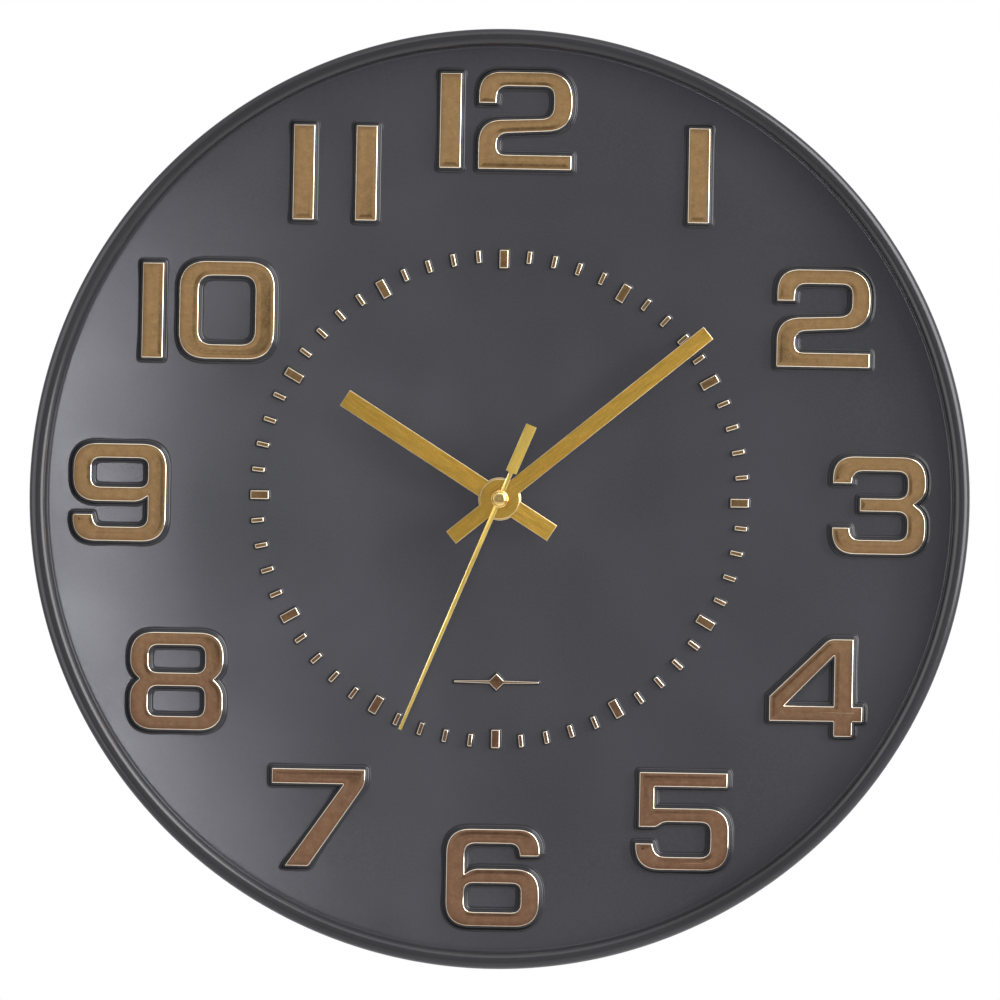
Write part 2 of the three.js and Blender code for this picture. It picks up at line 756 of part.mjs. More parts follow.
// The setting knob on the back, its stem, and the pinion that turns the motion wheel.
function settingKnob() {
  const { x, z } = KNOB_AT;
  const flutes = 18;
  const grip = toothed(flutes, 0.5, 0);
  const gripFront = BOX_REAR_Y + 0.3;
  const gripRear = gripFront + 3.4;
  return join(
    plate(grip, gripRear, gripFront).translate([x, 0, z]),
    rod(3.2, gripRear - 0.5, gripRear + 0.5, x, z, 20),
    rod(1.7, COVER_IN_Y - 1, gripRear - 1, x, z, 16),
    pinionOn(LAYER.motion, TEETH.knob, HAND_MODULE, KNOB_PHASE, KNOB_AT),
    rod(1.2, PIVOT_FRONT_Y, COVER_IN_Y, x, z, 16),
  );
}

// ---- Movement body ----

// The front housing: a tray with the train's room above and the battery bay below.
function frontHousing() {
  const edge = outline(rectangle(-BOX_HALF, BOX_HALF, -BOX_HALF, BOX_HALF, 1.5));
  const beyond = BOX_REAR_Y + 1;
  const thumbNotch = box([-9, 9], [-22, beyond], [-BOX_HALF - 1, -BOX_IN + 0.1]);
  const tongueSlots = [-1, 1].map((side) => {
    const x = [side * (BOX_IN + 0.1), side * (BOX_IN - 0.7)].sort((a, b) => a - b);
    return box(x, [-18.2, beyond], [BAY_WALL_Z[0] - 1, BAY_WALL_Z[1] + 1]);
  });
  return cut(
    plate(edge, BOX_REAR_Y, BOX_FRONT_Y),
    box([-BOX_IN, BOX_IN], [BOX_IN_Y, beyond], [BAY_WALL_Z[1], BOX_IN]),
    box([-BOX_IN, BOX_IN], [BOX_IN_Y, beyond], [-BOX_IN, BAY_WALL_Z[0]]),
    box(
      [-BOX_HALF - 1, BOX_HALF + 1],
      [COVER_IN_Y - TOUCH, beyond],
      [BAY_WALL_Z[1], BOX_HALF + 1],
    ),
    rod(BUSH_R + 0.1, BOX_FRONT_Y - 1, BOX_IN_Y + 1),
    thumbNotch,
    ...tongueSlots,
  );
}

// The snap-on back cover over the train, with its clips and the hole for the knob.
function backCover() {
  const clipWidth = 6;
  const clipOut = BOX_HALF + TOUCH;
  const clipThickness = 1;
  const clipReach = 4.5;
  const y = [COVER_IN_Y, BOX_REAR_Y];
  const face = box([-BOX_HALF, BOX_HALF], y, [BAY_WALL_Z[1] + TOUCH, BOX_HALF]);
  const clips = [-16, 16].flatMap((x) => [
    box([x, x + clipWidth], y, [BOX_HALF - 1, clipOut + clipThickness]),
    box(
      [x, x + clipWidth],
      [COVER_IN_Y - clipReach, BOX_REAR_Y],
      [clipOut, clipOut + clipThickness],
    ),
  ]);
  const knobHole = rod(2, COVER_IN_Y - 1, BOX_REAR_Y + 1, KNOB_AT.x, KNOB_AT.z);
  return cut(join(face, ...clips), knobHole);
}

// The middle plate that the rear half of the train stands on.
function trainBridge() {
  const y = [LAYER.bridge[0] - 1, LAYER.bridge[1] + 1];
  const edge = outline(rectangle(-25, 20, -9.8, 18.2, 2));
  return cut(
    plate(edge, LAYER.bridge[1], LAYER.bridge[0]),
    rod(2.1, ...y),
    rod(0.65, ...y, THIRD_AT.x, THIRD_AT.z, 12),
    rod(1.4, ...y, KNOB_AT.x, KNOB_AT.z),
  );
}

// The threaded bush that clamps the movement to the dial.
function bush() {
  const frontEnd = -35.3;
  return cut(
    join(rod(5.5, ...LAYER.bushFlange), rod(BUSH_R, frontEnd, LAYER.bushFlange[1], 0, 0, 32)),
    rod(BUSH_BORE_R, frontEnd - 1, LAYER.bushFlange[1] + 1),
  );
}

function hexNut() {
  const acrossFlats = 10;
  const corner = acrossFlats / 2 / Math.cos(30 * DEG);
  const rearY = DIAL_Y - 0.7;
  const frontY = rearY - 1.8;
  const bore = rod(BUSH_R + RUNNING, frontY - 1, rearY + 1, 0, 0, 32);
  return cut(rod(corner, frontY, rearY, 0, 0, 6), bore);
}

// ---- Electrics ----

const COIL_Z = 22.3;
const COIL_Y = -21.1;
const COIL_X = [-9.5, 15.5];
const CORE_X = [-16, 22];

// The U-shaped stator plate, with the rotor's hole near one end.
function stator() {
  const legWidth = 5;
  const top = 25;
  const [left, right] = CORE_X;
  const edge = outline([
    [left, 11.6, 1],
    [left, top, 1],
    [left + legWidth, top, 1],
    [left + legWidth, 18.4],
    [right - legWidth, 18.4],
    [right - legWidth, top, 1],
    [right, top, 1],
    [right, 11.6, 1],
  ]);
  const y = [LAYER.stator[0] - 1, LAYER.stator[1] + 1];
  const gap = 0.4;
  return cut(
    plate(edge, LAYER.stator[1], LAYER.stator[0]),
    rod(MAGNET_R + gap, ...y, ROTOR_AT.x, ROTOR_AT.z),
  );
}

function coilCore() {
  return box(CORE_X, [COIL_Y - 0.5, COIL_Y + 0.5], [COIL_Z - 1.5, COIL_Z + 1.5]);
}

// A turned piece along X, centred on the coil. Points are [radius, x].
function coilTurned(points) {
  const profile = points.map(([r, x]) => new THREE.Vector2(r, x));
  const geometry = new THREE.LatheGeometry(profile, 16);
  geometry.rotateZ(-Math.PI / 2);
  geometry.translate(0, COIL_Y, COIL_Z);
  return solid(geometry);
}

function bobbin() {
  const [left, right] = COIL_X;
  const flange = 0.9;
  const spool = coilTurned([
    [0, left],
    [3.4, left],
    [3.4, left + flange],
    [2.2, left + flange],
    [2.2, right - flange],
    [3.4, right - flange],
    [3.4, right],
    [0, right],
  ]);
  const slot = box(
    [left - 1, right + 1],
    [COIL_Y - 0.6, COIL_Y + 0.6],
    [COIL_Z - 1.6, COIL_Z + 1.6],
  );
  return cut(spool, slot);
}

function winding() {
  const [left, right] = COIL_X;
  const margin = 1;
  return coilTurned([
    [2.3, left + margin],
    [3.2, left + margin],
    [3.2, right - margin],
    [2.3, right - margin],
    [2.3, left + margin],
  ]);
}

function crystal() {
  const geometry = new THREE.CylinderGeometry(1, 1, 6, 14);
  geometry.rotateZ(Math.PI / 2);
  geometry.translate(20, LAYER.board[0] - 1.1, 20);
  return solid(geometry);
}

function chip() {
  const dome = new THREE.SphereGeometry(2.6, 16, 10);
  dome.scale(1, 0.4, 1);
  dome.translate(-20, LAYER.board[0] - TOUCH, 22);
  const front = box([-24, -16], [-20, LAYER.board[0] - TOUCH], [18, 26]);
  return solid(dome).intersect(front);
}

// A flat contact plate at one end of the bay, with a tongue that runs up beside the board.
function contact(side) {
  const outerX = side * (BOX_IN - TOUCH);
  const thickness = 0.3;
  const x = [outerX, outerX - side * thickness].sort((a, b) => a - b);
  const pad = box(x, [-26.5, -14.5], [CELL_Z - 6.5, CELL_Z + 6.5]);
  const tongue = box(x, [-17.8, -14.8], [CELL_Z + 6, 24]);
  return join(pad, tongue);
}

// The negative spring: a short cone of wire, pressed nearly flat by the battery.
class SpringCurve extends THREE.Curve {
  getPoint(t) {
    const turns = 2.25;
    const angle = t * turns * 2 * Math.PI;
    const r = 4.6 - 2 * t;
    const x = -25.9 + 1.3 * t;
    return new THREE.Vector3(x, CELL_Y + r * Math.sin(angle), CELL_Z + r * Math.cos(angle));
  }
}

function contactSpring() {
  const wire = new THREE.Shape();
  wire.absarc(0, 0, 0.28, 0, 2 * Math.PI);
  const geometry = new THREE.ExtrudeGeometry(wire, {
    steps: 28,
    curveSegments: 3,
    extrudePath: new SpringCurve(),
  });
  return solid(geometry);
}

// A turned piece along X about the battery's axis. Points are [radius, x].
function cellTurned(points, segments) {
  const profile = points.map(([r, x]) => new THREE.Vector2(r, x));
  const geometry = new THREE.LatheGeometry(profile, segments);
  geometry.rotateZ(-Math.PI / 2);
  geometry.translate(0, CELL_Y, CELL_Z);
  return solid(geometry);
}

function batteryCell() {
  const shoulder = CELL_END_X - NUB.length;
  const rear = shoulder - CELL_LENGTH;
  return cellTurned(
    [
      [0, rear],
      [CELL_R - 0.6, rear],
      [CELL_R, rear + 0.6],
      [CELL_R, shoulder - 0.6],
      [CELL_R - 0.6, shoulder],
      [NUB.r, shoulder],
      [NUB.r, CELL_END_X - 0.3],
      [NUB.r - 0.3, CELL_END_X],
      [0, CELL_END_X],
    ],
    20,
  );
}

function batterySleeve() {
  const shoulder = CELL_END_X - NUB.length;
  const rear = shoulder - CELL_LENGTH;
  const inset = 0.4;
  const inner = CELL_R + TOUCH;
  return cellTurned(
    [
      [inner, rear + inset],
      [SLEEVE_R, rear + inset],
      [SLEEVE_R, shoulder - inset],
      [inner, shoulder - inset],
      [inner, rear + inset],
    ],
    20,
  );
}

// ---- Hands ----

// A bar that runs through a round hub, pointing at twelve.
function barHandShape({ length, tail, width, hubR }, boreR) {
  const half = width / 2;
  const flank = Math.acos(half / hubR); // where the bar's edge meets the hub, as an angle
  const shape = new THREE.Shape();
  shape.moveTo(half, hubR * Math.sin(flank));
  shape.lineTo(half, length);
  shape.lineTo(-half, length);
  shape.absarc(0, 0, hubR, Math.PI - flank, Math.PI + flank, false);
  shape.lineTo(-half, -tail);
  shape.lineTo(half, -tail);
  shape.absarc(0, 0, hubR, -flank, flank, false);
  const bore = new THREE.Path();
  bore.absarc(0, 0, boreR, 0, 2 * Math.PI, true);
  shape.holes.push(bore);
  return shape;
}

// A pressed sheet hand with the short collet that grips its pipe.
function barHand(hand, pipeR, colletLength) {
  const bore = pipeR + RUNNING;
  const rearY = hand.frontY + HAND_SHEET;
  const sheet = plate(barHandShape(hand, bore), rearY, hand.frontY);
  const collet = tube(bore + 0.8, bore, rearY - 0.1, rearY + colletLength);
  return join(sheet, collet).rotate([0, hand.angle, 0]);
}

function secondHand() {
  const { length, tail, frontY, angle } = SECOND_HAND;
  const { root, tip, neck, paddle, paddleStart } = SECOND_BLADE;
  const hub = 2.2;
  const flare = 1.2;
  const rearY = frontY + HAND_SHEET;
  const shape = outline([
    [-neck / 2, -paddleStart],
    [-root / 2, 0],
    [-tip / 2, length],
    [tip / 2, length],
    [root / 2, 0],
    [neck / 2, -paddleStart],
    [paddle / 2, -paddleStart - flare],
    [paddle / 2, -tail],
    [-paddle / 2, -tail],
    [-paddle / 2, -paddleStart - flare],
  ]);
  const bore = rod(ARBOR_R + RUNNING, frontY - 1, rearY + 2, 0, 0, 12);
  const collet = rod(1.1, rearY - 0.1, rearY + 0.6, 0, 0, 16);
  const whole = join(plate(shape, rearY, frontY), rod(hub, frontY, rearY), collet);
  return cut(whole, bore).rotate([0, angle, 0]);
}

// The domed cap on the second hand's hub, with a blind hole for the arbor.
function boss() {
  const rearY = SECOND_HAND.frontY - TOUCH;
  const rise = 1.7;
  const side = 0.5;
  const holeR = ARBOR_R + RUNNING;
  const points = [
    new THREE.Vector2(0, rearY - 0.4),
    new THREE.Vector2(holeR, rearY - 0.4),
    new THREE.Vector2(holeR, rearY),
    new THREE.Vector2(BOSS_R, rearY),
  ];
  for (let step = 0; step <= 5; step += 1) {
    const turn = (step * Math.PI) / 10;
    const y = rearY - side - (rise - side) * Math.sin(turn);
    points.push(new THREE.Vector2(step === 5 ? 0 : BOSS_R * Math.cos(turn), y));
  }
  return solid(new THREE.LatheGeometry(points, 20));
}

// ---- Assembly ----

const clock = new THREE.Group();
clock.position.z = -HANG_HEIGHT;

addMesh(clock, 'case_dial', dialBody(), 'case_plastic');
addMesh(clock, 'case_rim', rimBody(), 'case_plastic');
addMesh(clock, 'case_ribs', caseRibs(), 'case_plastic');
addMesh(clock, 'hanger', hanger(), 'case_plastic');

for (const numeral of NUMERALS) {
  const rearY = DIAL_Y - RELIEF - FOIL_GAP;
  addMesh(clock, numeral.name, plate(numeralShape(numeral), rearY, rearY - FOIL), 'bronze_foil');
}
const emblemRearY = DIAL_Y - MARK_RELIEF - FOIL_GAP;
addMesh(clock, 'foil_emblem', plate(emblemShape(), emblemRearY, emblemRearY - FOIL), 'bronze_foil');

const washerRearY = BOX_FRONT_Y - TOUCH;
addMesh(clock, 'movement_housing', frontHousing(), 'movement_plastic');
addMesh(clock, 'movement_cover', backCover(), 'movement_plastic');
addMesh(clock, 'train_bridge', trainBridge(), 'gear_plastic');
addMesh(clock, 'threaded_bush', bush(), 'nut_brass');
addMesh(clock, 'rubber_washer', tube(10, BUSH_R + 0.2, washerRearY, washerRearY - 1), 'washer_rubber');
addMesh(clock, 'flat_washer', tube(6.2, BUSH_R + 0.2, DIAL_Y - 0.6, DIAL_Y - 0.1), 'nut_brass');
addMesh(clock, 'hex_nut', hexNut(), 'nut_brass');

addMesh(clock, 'stator', stator(), 'stator_iron');
addMesh(clock, 'coil_core', coilCore(), 'stator_iron');
addMesh(clock, 'coil_bobbin', bobbin(), 'bobbin_plastic');
addMesh(clock, 'coil_winding', winding(), 'coil_copper');
addMesh(clock, 'circuit_board', box([-26, 26], LAYER.board, [17.5, 26.3]), 'board');
addMesh(clock, 'quartz_crystal', crystal(), 'crystal_can');
addMesh(clock, 'chip_blob', chip(), 'chip_epoxy');
addMesh(clock, 'contact_positive', contact(1), 'contact_steel');
addMesh(clock, 'contact_negative', contact(-1), 'contact_steel');
addMesh(clock, 'contact_spring', contactSpring(), 'contact_steel');
addMesh(clock, 'battery_cell', batteryCell(), 'cell_steel');
addMesh(clock, 'battery_sleeve', batterySleeve(), 'cell_sleeve');

addMesh(clock, 'rotor', rotor(), 'arbor_steel');
addMesh(clock, 'fifth_wheel', fifthWheel(), 'gear_plastic');
addMesh(clock, 'seconds_wheel', secondsWheel(), 'arbor_steel');
addMesh(clock, 'third_wheel', thirdWheel(), 'gear_plastic');
addMesh(clock, 'centre_wheel', centreWheel(), 'gear_plastic');
addMesh(clock, 'minute_cannon', cannon(), 'nut_brass');
addMesh(clock, 'motion_wheel', motionWheel(), 'gear_plastic');
addMesh(clock, 'hour_wheel', hourWheel(), 'gear_plastic');
addMesh(clock, 'setting_knob', settingKnob(), 'knob_plastic');

addMesh(clock, 'hour_hand', barHand(HOUR_HAND, HOUR_PIPE.outer, 0.5), 'hand_metal');
addMesh(clock, 'minute_hand', barHand(MINUTE_HAND, MINUTE_PIPE.outer, 0.6), 'hand_metal');
addMesh(clock, 'second_hand', secondHand(), 'hand_metal');
addMesh(clock, 'second_hand_boss', boss(), 'boss_brass');

const root = new THREE.Group();
root.add(clock);

export default root;
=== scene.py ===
import json
import math

import bmesh
import bpy
from mathutils import Matrix, Vector
from mathutils.geometry import tessellate_polygon


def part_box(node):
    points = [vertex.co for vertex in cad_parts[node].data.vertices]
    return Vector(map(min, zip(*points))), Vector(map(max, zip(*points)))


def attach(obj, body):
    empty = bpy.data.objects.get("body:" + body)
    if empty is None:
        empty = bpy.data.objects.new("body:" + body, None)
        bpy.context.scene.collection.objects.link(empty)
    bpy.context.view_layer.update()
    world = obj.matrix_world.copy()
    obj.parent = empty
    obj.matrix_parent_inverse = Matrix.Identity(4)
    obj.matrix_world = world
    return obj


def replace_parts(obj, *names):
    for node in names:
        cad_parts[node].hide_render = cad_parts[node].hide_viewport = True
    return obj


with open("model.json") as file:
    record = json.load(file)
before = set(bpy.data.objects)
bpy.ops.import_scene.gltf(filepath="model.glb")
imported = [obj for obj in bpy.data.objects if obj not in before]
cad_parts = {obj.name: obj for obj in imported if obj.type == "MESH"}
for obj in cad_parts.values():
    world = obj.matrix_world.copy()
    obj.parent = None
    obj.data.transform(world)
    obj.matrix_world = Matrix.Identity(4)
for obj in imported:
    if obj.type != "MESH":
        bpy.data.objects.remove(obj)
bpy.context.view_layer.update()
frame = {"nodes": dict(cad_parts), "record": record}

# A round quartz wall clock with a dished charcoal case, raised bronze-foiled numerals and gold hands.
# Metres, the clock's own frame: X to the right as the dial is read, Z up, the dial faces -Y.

MM = 0.001
BODY = "case_body"


# ---- Places, from the frame ----

def middle(node):
    low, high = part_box(node)
    return (low + high) / 2


def half_width(node):
    low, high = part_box(node)
    return (high.x - low.x) / 2


RIM_LOW, RIM_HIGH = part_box("case_rim")
AXIS_Z = middle("case_rim").z
CLOCK_R = half_width("case_rim")
DIAL_R = half_width("case_dial")
WALL_Y = RIM_HIGH.y
RIM_FRONT_Y = RIM_LOW.y
FOIL_FRONT_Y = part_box("foil_3")[0].y
RELIEF = 1.7 * MM          # from the dial to a numeral's foil
DIAL_Y = FOIL_FRONT_Y + RELIEF
PLATE = 2.2 * MM
DIAL_BACK_Y = DIAL_Y + PLATE
MARK_FRONT_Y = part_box("foil_emblem")[0].y
MARK_RELIEF = DIAL_Y - MARK_FRONT_Y
AXIS = Vector((0, 0, AXIS_Z))


# ---- Camera: square to the dial, turned about one degree ----

CAMERA_DISTANCE = 1.75     # from the rim's front
PICTURE_WIDTH = 0.3186     # seen across at the rim's front
SENSOR = 36
ROLL = math.radians(1.02)
AIM = Vector((0.12 * MM, RIM_FRONT_Y, AXIS_Z - 0.32 * MM))

camera_data = bpy.data.cameras.new("camera")
camera_data.sensor_width = SENSOR
camera_data.lens = SENSOR * CAMERA_DISTANCE / PICTURE_WIDTH
camera_data.clip_start = 0.05
camera_data.clip_end = 50
camera = bpy.data.objects.new("camera", camera_data)
bpy.context.scene.collection.objects.link(camera)
camera.matrix_world = (
    Matrix.Translation(AIM + Vector((0, -CAMERA_DISTANCE, 0)))
    @ Matrix.Rotation(math.pi / 2, 4, "X")
    @ Matrix.Rotation(ROLL, 4, "Z")
)
bpy.context.scene.camera = camera


# ---- Materials ----

def node(tree, kind, settings=None, **inputs):
    """Adds a shader node. Inputs are named by their sockets, and a socket given as a value is linked."""
    made = tree.nodes.new("ShaderNode" + kind)
    for key, value in (settings or {}).items():
        setattr(made, key, value)
    for key, value in inputs.items():
        socket = made.inputs[key.replace("_", " ")]
        if isinstance(value, bpy.types.NodeSocket):
            tree.links.new(value, socket)
        else:
            socket.default_value = value
    return made


def new_material(name):
    """An empty material with a Principled shader, and its texture space in metres."""
    material = bpy.data.materials.new(name)
    material.use_nodes = True
    tree = material.node_tree
    tree.nodes.clear()
    shader = tree.nodes.new("ShaderNodeBsdfPrincipled")
    output = tree.nodes.new("ShaderNodeOutputMaterial")
    tree.links.new(shader.outputs["BSDF"], output.inputs["Surface"])
    place = tree.nodes.new("ShaderNodeTexCoord").outputs["Object"]
    return material, tree, shader, place


def stretched(tree, place, scale, turn=(0, 0, 0)):
    return node(tree, "Mapping", Vector=place, Scale=scale, Rotation=turn).outputs["Vector"]


def noise(tree, place, scale, detail=3.0, roughness=0.55, distortion=0.0):
    made = node(
        tree, "TexNoise", Vector=place, Scale=scale, Detail=detail, Roughness=roughness, Distortion=distortion
    )
    return made.outputs["Fac"]


def ramp(tree, value, stops, interpolation="LINEAR"):
    """Runs a value through a colour ramp. Each stop is (position, colour), the colour as three numbers."""
    made = node(tree, "ValToRGB", Fac=value)
    band = made.color_ramp
    band.interpolation = interpolation
    while len(band.elements) < len(stops):
        band.elements.new(0.5)
    for element, (position, colour) in zip(band.elements, stops):
        element.position = position
        element.color = (*colour, 1)
    return made.outputs["Color"]


def spread(tree, value, low, high, from_low=0.3, from_high=0.7):
    """Eases a value from one range to another, and holds it there beyond both ends."""
    made = node(
        tree,
        "MapRange",
        {"interpolation_type": "SMOOTHSTEP"},
        Value=value,
        From_Min=from_low,
        From_Max=from_high,
        To_Min=low,
        To_Max=high,
    )
    return made.outputs["Result"]


def mixed(tree, factor, a, b):
    made = node(tree, "MixRGB", Fac=factor)
    for socket, value in ((made.inputs["Color1"], a), (made.inputs["Color2"], b)):
        if isinstance(value, bpy.types.NodeSocket):
            tree.links.new(value, socket)
        else:
            socket.default_value = (*value, 1)
    return made.outputs["Color"]


def times(tree, a, b):
    made = node(tree, "Math", {"operation": "MULTIPLY"})
    for socket, value in zip(made.inputs, (a, b)):
        if isinstance(value, bpy.types.NodeSocket):
            tree.links.new(value, socket)
        else:
            socket.default_value = value
    return made.outputs["Value"]


def specks(tree, place, scale, share, size):
    """Scattered dots: 1 on a dot, 0 elsewhere. share of the cells hold one, size is its radius in cells."""
    cells = node(tree, "TexVoronoi", Vector=place, Scale=scale)
    pick = spread(tree, cells.outputs["Color"], 0, 1, 1 - share, 1 - share + 0.01)
    near = spread(tree, cells.outputs["Distance"], 1, 0, size * 0.5, size)
    return times(tree, pick, near)


def rubbed_and_highlit_edge(tree, most):
    """How far the surface has turned from facing along -Y, where the finish is rubbed thin and pale and a highlight
    is painted on the edge.
    """
    normal = tree.nodes.new("ShaderNodeTexCoord").outputs["Normal"]
    along = node(tree, "SeparateXYZ", Vector=normal).outputs["Y"]
    return spread(tree, along, 0, most, -0.985, -0.88)


def bumps(tree, height, distance):
    return node(tree, "Bump", Height=height, Distance=distance, Strength=1.0).outputs["Normal"]


def link(tree, value, shader, name):
    tree.links.new(value, shader.inputs[name])


def case_plastic():
    """Charcoal ABS from a finely etched mould, with a little dust on it."""
    material, tree, shader, place = new_material("case_plastic")
    cloud = noise(tree, place, 16, 2)
    base = ramp(tree, cloud, [(0.3, (0.0155, 0.0158, 0.0174)), (0.7, (0.0210, 0.0206, 0.0232))])
    grain = noise(tree, place, 1500, 4, 0.65)
    base = mixed(tree, spread(tree, grain, 0, 0.3), base, (0.031, 0.031, 0.035))
    dust = specks(tree, place, 210, 0.09, 0.07)
    fine_dust = specks(tree, place, 520, 0.06, 0.10)
    base = mixed(tree, times(tree, dust, 0.9), base, (0.66, 0.66, 0.68))
    base = mixed(tree, times(tree, fine_dust, 0.30), base, (0.36, 0.35, 0.33))
    link(tree, base, shader, "Base Color")
    link(tree, spread(tree, noise(tree, place, 30, 2), 0.18, 0.22), shader, "Roughness")
    link(tree, bumps(tree, grain, 0.012 * MM), shader, "Normal")
    return material


def bronze_foil():
    """Hot-stamped bronze foil: mottled, speckled where the film is thin, with painted shade making it browner low on
    the dial, and a painted highlight on its edges.
    """
    material, tree, shader, place = new_material("bronze_foil")
    # Painted shade: a lit tone high on the dial and a shaded, browner tone low on it, blended by height.
    height = node(tree, "SeparateXYZ", Vector=place).outputs["Z"]
    foil_shade_by_height = spread(tree, height, 0, 1, AXIS_Z - 0.085, AXIS_Z + 0.02)
    mottle = noise(tree, place, 420, 4, 0.6, 0.4)
    lit_foil = ramp(tree, mottle, [(0.2, (0.56, 0.34, 0.145)), (0.5, (0.66, 0.41, 0.18)), (0.8, (0.74, 0.48, 0.22))])
    shaded_foil = ramp(tree, mottle, [(0.2, (0.38, 0.21, 0.12)), (0.5, (0.47, 0.265, 0.155)), (0.8, (0.56, 0.34, 0.20))])
    base = mixed(tree, foil_shade_by_height, shaded_foil, lit_foil)
    grain = noise(tree, place, 2600, 3, 0.7)
    base = mixed(tree, spread(tree, grain, 0, 0.35, 0.45, 0.75), base, (0.30, 0.15, 0.07))
    thin = specks(tree, place, 620, 0.05, 0.16)
    base = mixed(tree, times(tree, thin, 0.8), base, (0.85, 0.66, 0.40))
    # Painted highlight: the foil's rounded edges are mixed towards cream, partly also for foil rubbed thin there.
    base = mixed(tree, rubbed_and_highlit_edge(tree, 0.85), base, (0.97, 0.90, 0.74))
    link(tree, base, shader, "Base Color")
    shader.inputs["Metallic"].default_value = 1.0
    link(tree, spread(tree, noise(tree, place, 300, 3), 0.07, 0.15), shader, "Roughness")
    link(tree, bumps(tree, noise(tree, place, 700, 3, 0.6), 0.012 * MM), shader, "Normal")
    return material


def brushed_gold(name, light, dark):
    """Gold anodised aluminium, brushed along the hand, which lies along its own Z."""
    material, tree, shader, place = new_material(name)
    streaks = noise(tree, stretched(tree, place, (2600, 900, 160)), 1, 4, 0.6)
    blotches = noise(tree, stretched(tree, place, (260, 260, 190)), 1, 3, 0.6)
    base = ramp(tree, streaks, [(0.25, dark), (0.75, light)])
    warm = tuple(c * k for c, k in zip(light, (1.0, 0.84, 0.66)))
    base = mixed(tree, spread(tree, blotches, 0, 0.45, 0.45, 0.7), base, warm)
    grain = noise(tree, place, 1700, 3, 0.7)
    base = mixed(tree, spread(tree, grain, 0, 0.5, 0.42, 0.62), base, dark)
    # Painted highlight: the hand's rounded edges are mixed towards cream, partly also for metal rubbed thin there.
    base = mixed(tree, rubbed_and_highlit_edge(tree, 0.7), base, (0.98, 0.92, 0.72))
    link(tree, base, shader, "Base Color")
    shader.inputs["Metallic"].default_value = 1.0
    shader.inputs["Anisotropic"].default_value = 0.5
    link(tree, spread(tree, streaks, 0.29, 0.42), shader, "Roughness")
    link(tree, bumps(tree, streaks, 0.015 * MM), shader, "Normal")
    return material


def polished(name, light, dark, rough=(0.05, 0.12), turned=2200):
    """Turned and polished metal, with faint rings left by the tool."""
    material, tree, shader, place = new_material(name)
    marks = noise(tree, stretched(tree, place, (60, turned, 60)), 1, 3)
    film = noise(tree, place, 380, 3)
    base = ramp(tree, film, [(0.3, dark), (0.7, light)])
    link(tree, base, shader, "Base Color")
    shader.inputs["Metallic"].default_value = 1.0
    link(tree, spread(tree, marks, *rough), shader, "Roughness")
    link(tree, bumps(tree, marks, 0.004 * MM), shader, "Normal")
    return material


def metal(name, light, dark, rough, scale):
    """Rolled or stamped sheet metal with a directional grain and faint staining."""
    material, tree, shader, place = new_material(name)
    grain = noise(tree, stretched(tree, place, scale), 1, 4, 0.6)
    stain = noise(tree, place, 140, 3)
    base = ramp(tree, stain, [(0.3, dark), (0.7, light)])
    link(tree, base, shader, "Base Color")
    shader.inputs["Metallic"].default_value = 1.0
    link(tree, spread(tree, grain, *rough), shader, "Roughness")
    link(tree, bumps(tree, grain, 0.02 * MM), shader, "Normal")
    return material


def moulded(name, light, dark, rough, grain=1800, lift=0.03, glow=0.0):
    """Moulded plastic with an etched texture and slow changes of tone."""
    material, tree, shader, place = new_material(name)
    etch = noise(tree, place, grain, 4, 0.65)
    flow = noise(tree, stretched(tree, place, (40, 70, 40)), 1, 3, 0.6, 0.8)
    base = ramp(tree, flow, [(0.3, dark), (0.7, light)])
    base = mixed(tree, spread(tree, etch, 0, 0.3), base, light)
    link(tree, base, shader, "Base Color")
    link(tree, spread(tree, etch, *rough), shader, "Roughness")
    link(tree, bumps(tree, etch, lift * MM), shader, "Normal")
    if glow:
        shader.inputs["Subsurface Weight"].default_value = glow
        shader.inputs["Subsurface Radius"].default_value = (0.0010, 0.0008, 0.0006)
    return material


def wound_copper():
    """Fine enamelled wire, wound side by side round the X axis, with painted shade between the turns."""
    material, tree, shader, place = new_material("coil_copper")
    turns = node(
        tree,
        "TexWave",
        {"bands_direction": "X"},
        Vector=place,
        Scale=1400,
        Distortion=0.6,
        Detail=1.0,
        Detail_Scale=40,
    ).outputs["Fac"]
    # Painted shade: the grooves between the turns are coloured dark brown, the crowns of the wire light copper.
    base = ramp(tree, turns, [(0.1, (0.16, 0.045, 0.012)), (0.8, (0.62, 0.24, 0.07))])
    link(tree, base, shader, "Base Color")
    shader.inputs["Metallic"].default_value = 0.9
    link(tree, spread(tree, noise(tree, place, 900), 0.22, 0.42), shader, "Roughness")
    link(tree, bumps(tree, turns, 0.06 * MM), shader, "Normal")
    return material


def circuit_board():
    """Green solder mask over tracks that run along X."""
    material, tree, shader, place = new_material("board")
    tracks = node(
        tree, "TexBrick", Vector=stretched(tree, place, (1, 1, 1), (math.pi / 2, 0, 0)), Scale=70, Mortar_Size=0.03
    ).outputs["Fac"]
    base = ramp(tree, tracks, [(0.4, (0.020, 0.105, 0.040)), (0.6, (0.050, 0.20, 0.075))])
    base = mixed(tree, spread(tree, noise(tree, place, 700), 0, 0.4), base, (0.012, 0.07, 0.03))
    link(tree, base, shader, "Base Color")
    link(tree, spread(tree, noise(tree, place, 300), 0.28, 0.5), shader, "Roughness")
    link(tree, bumps(tree, tracks, 0.03 * MM), shader, "Normal")
    return material


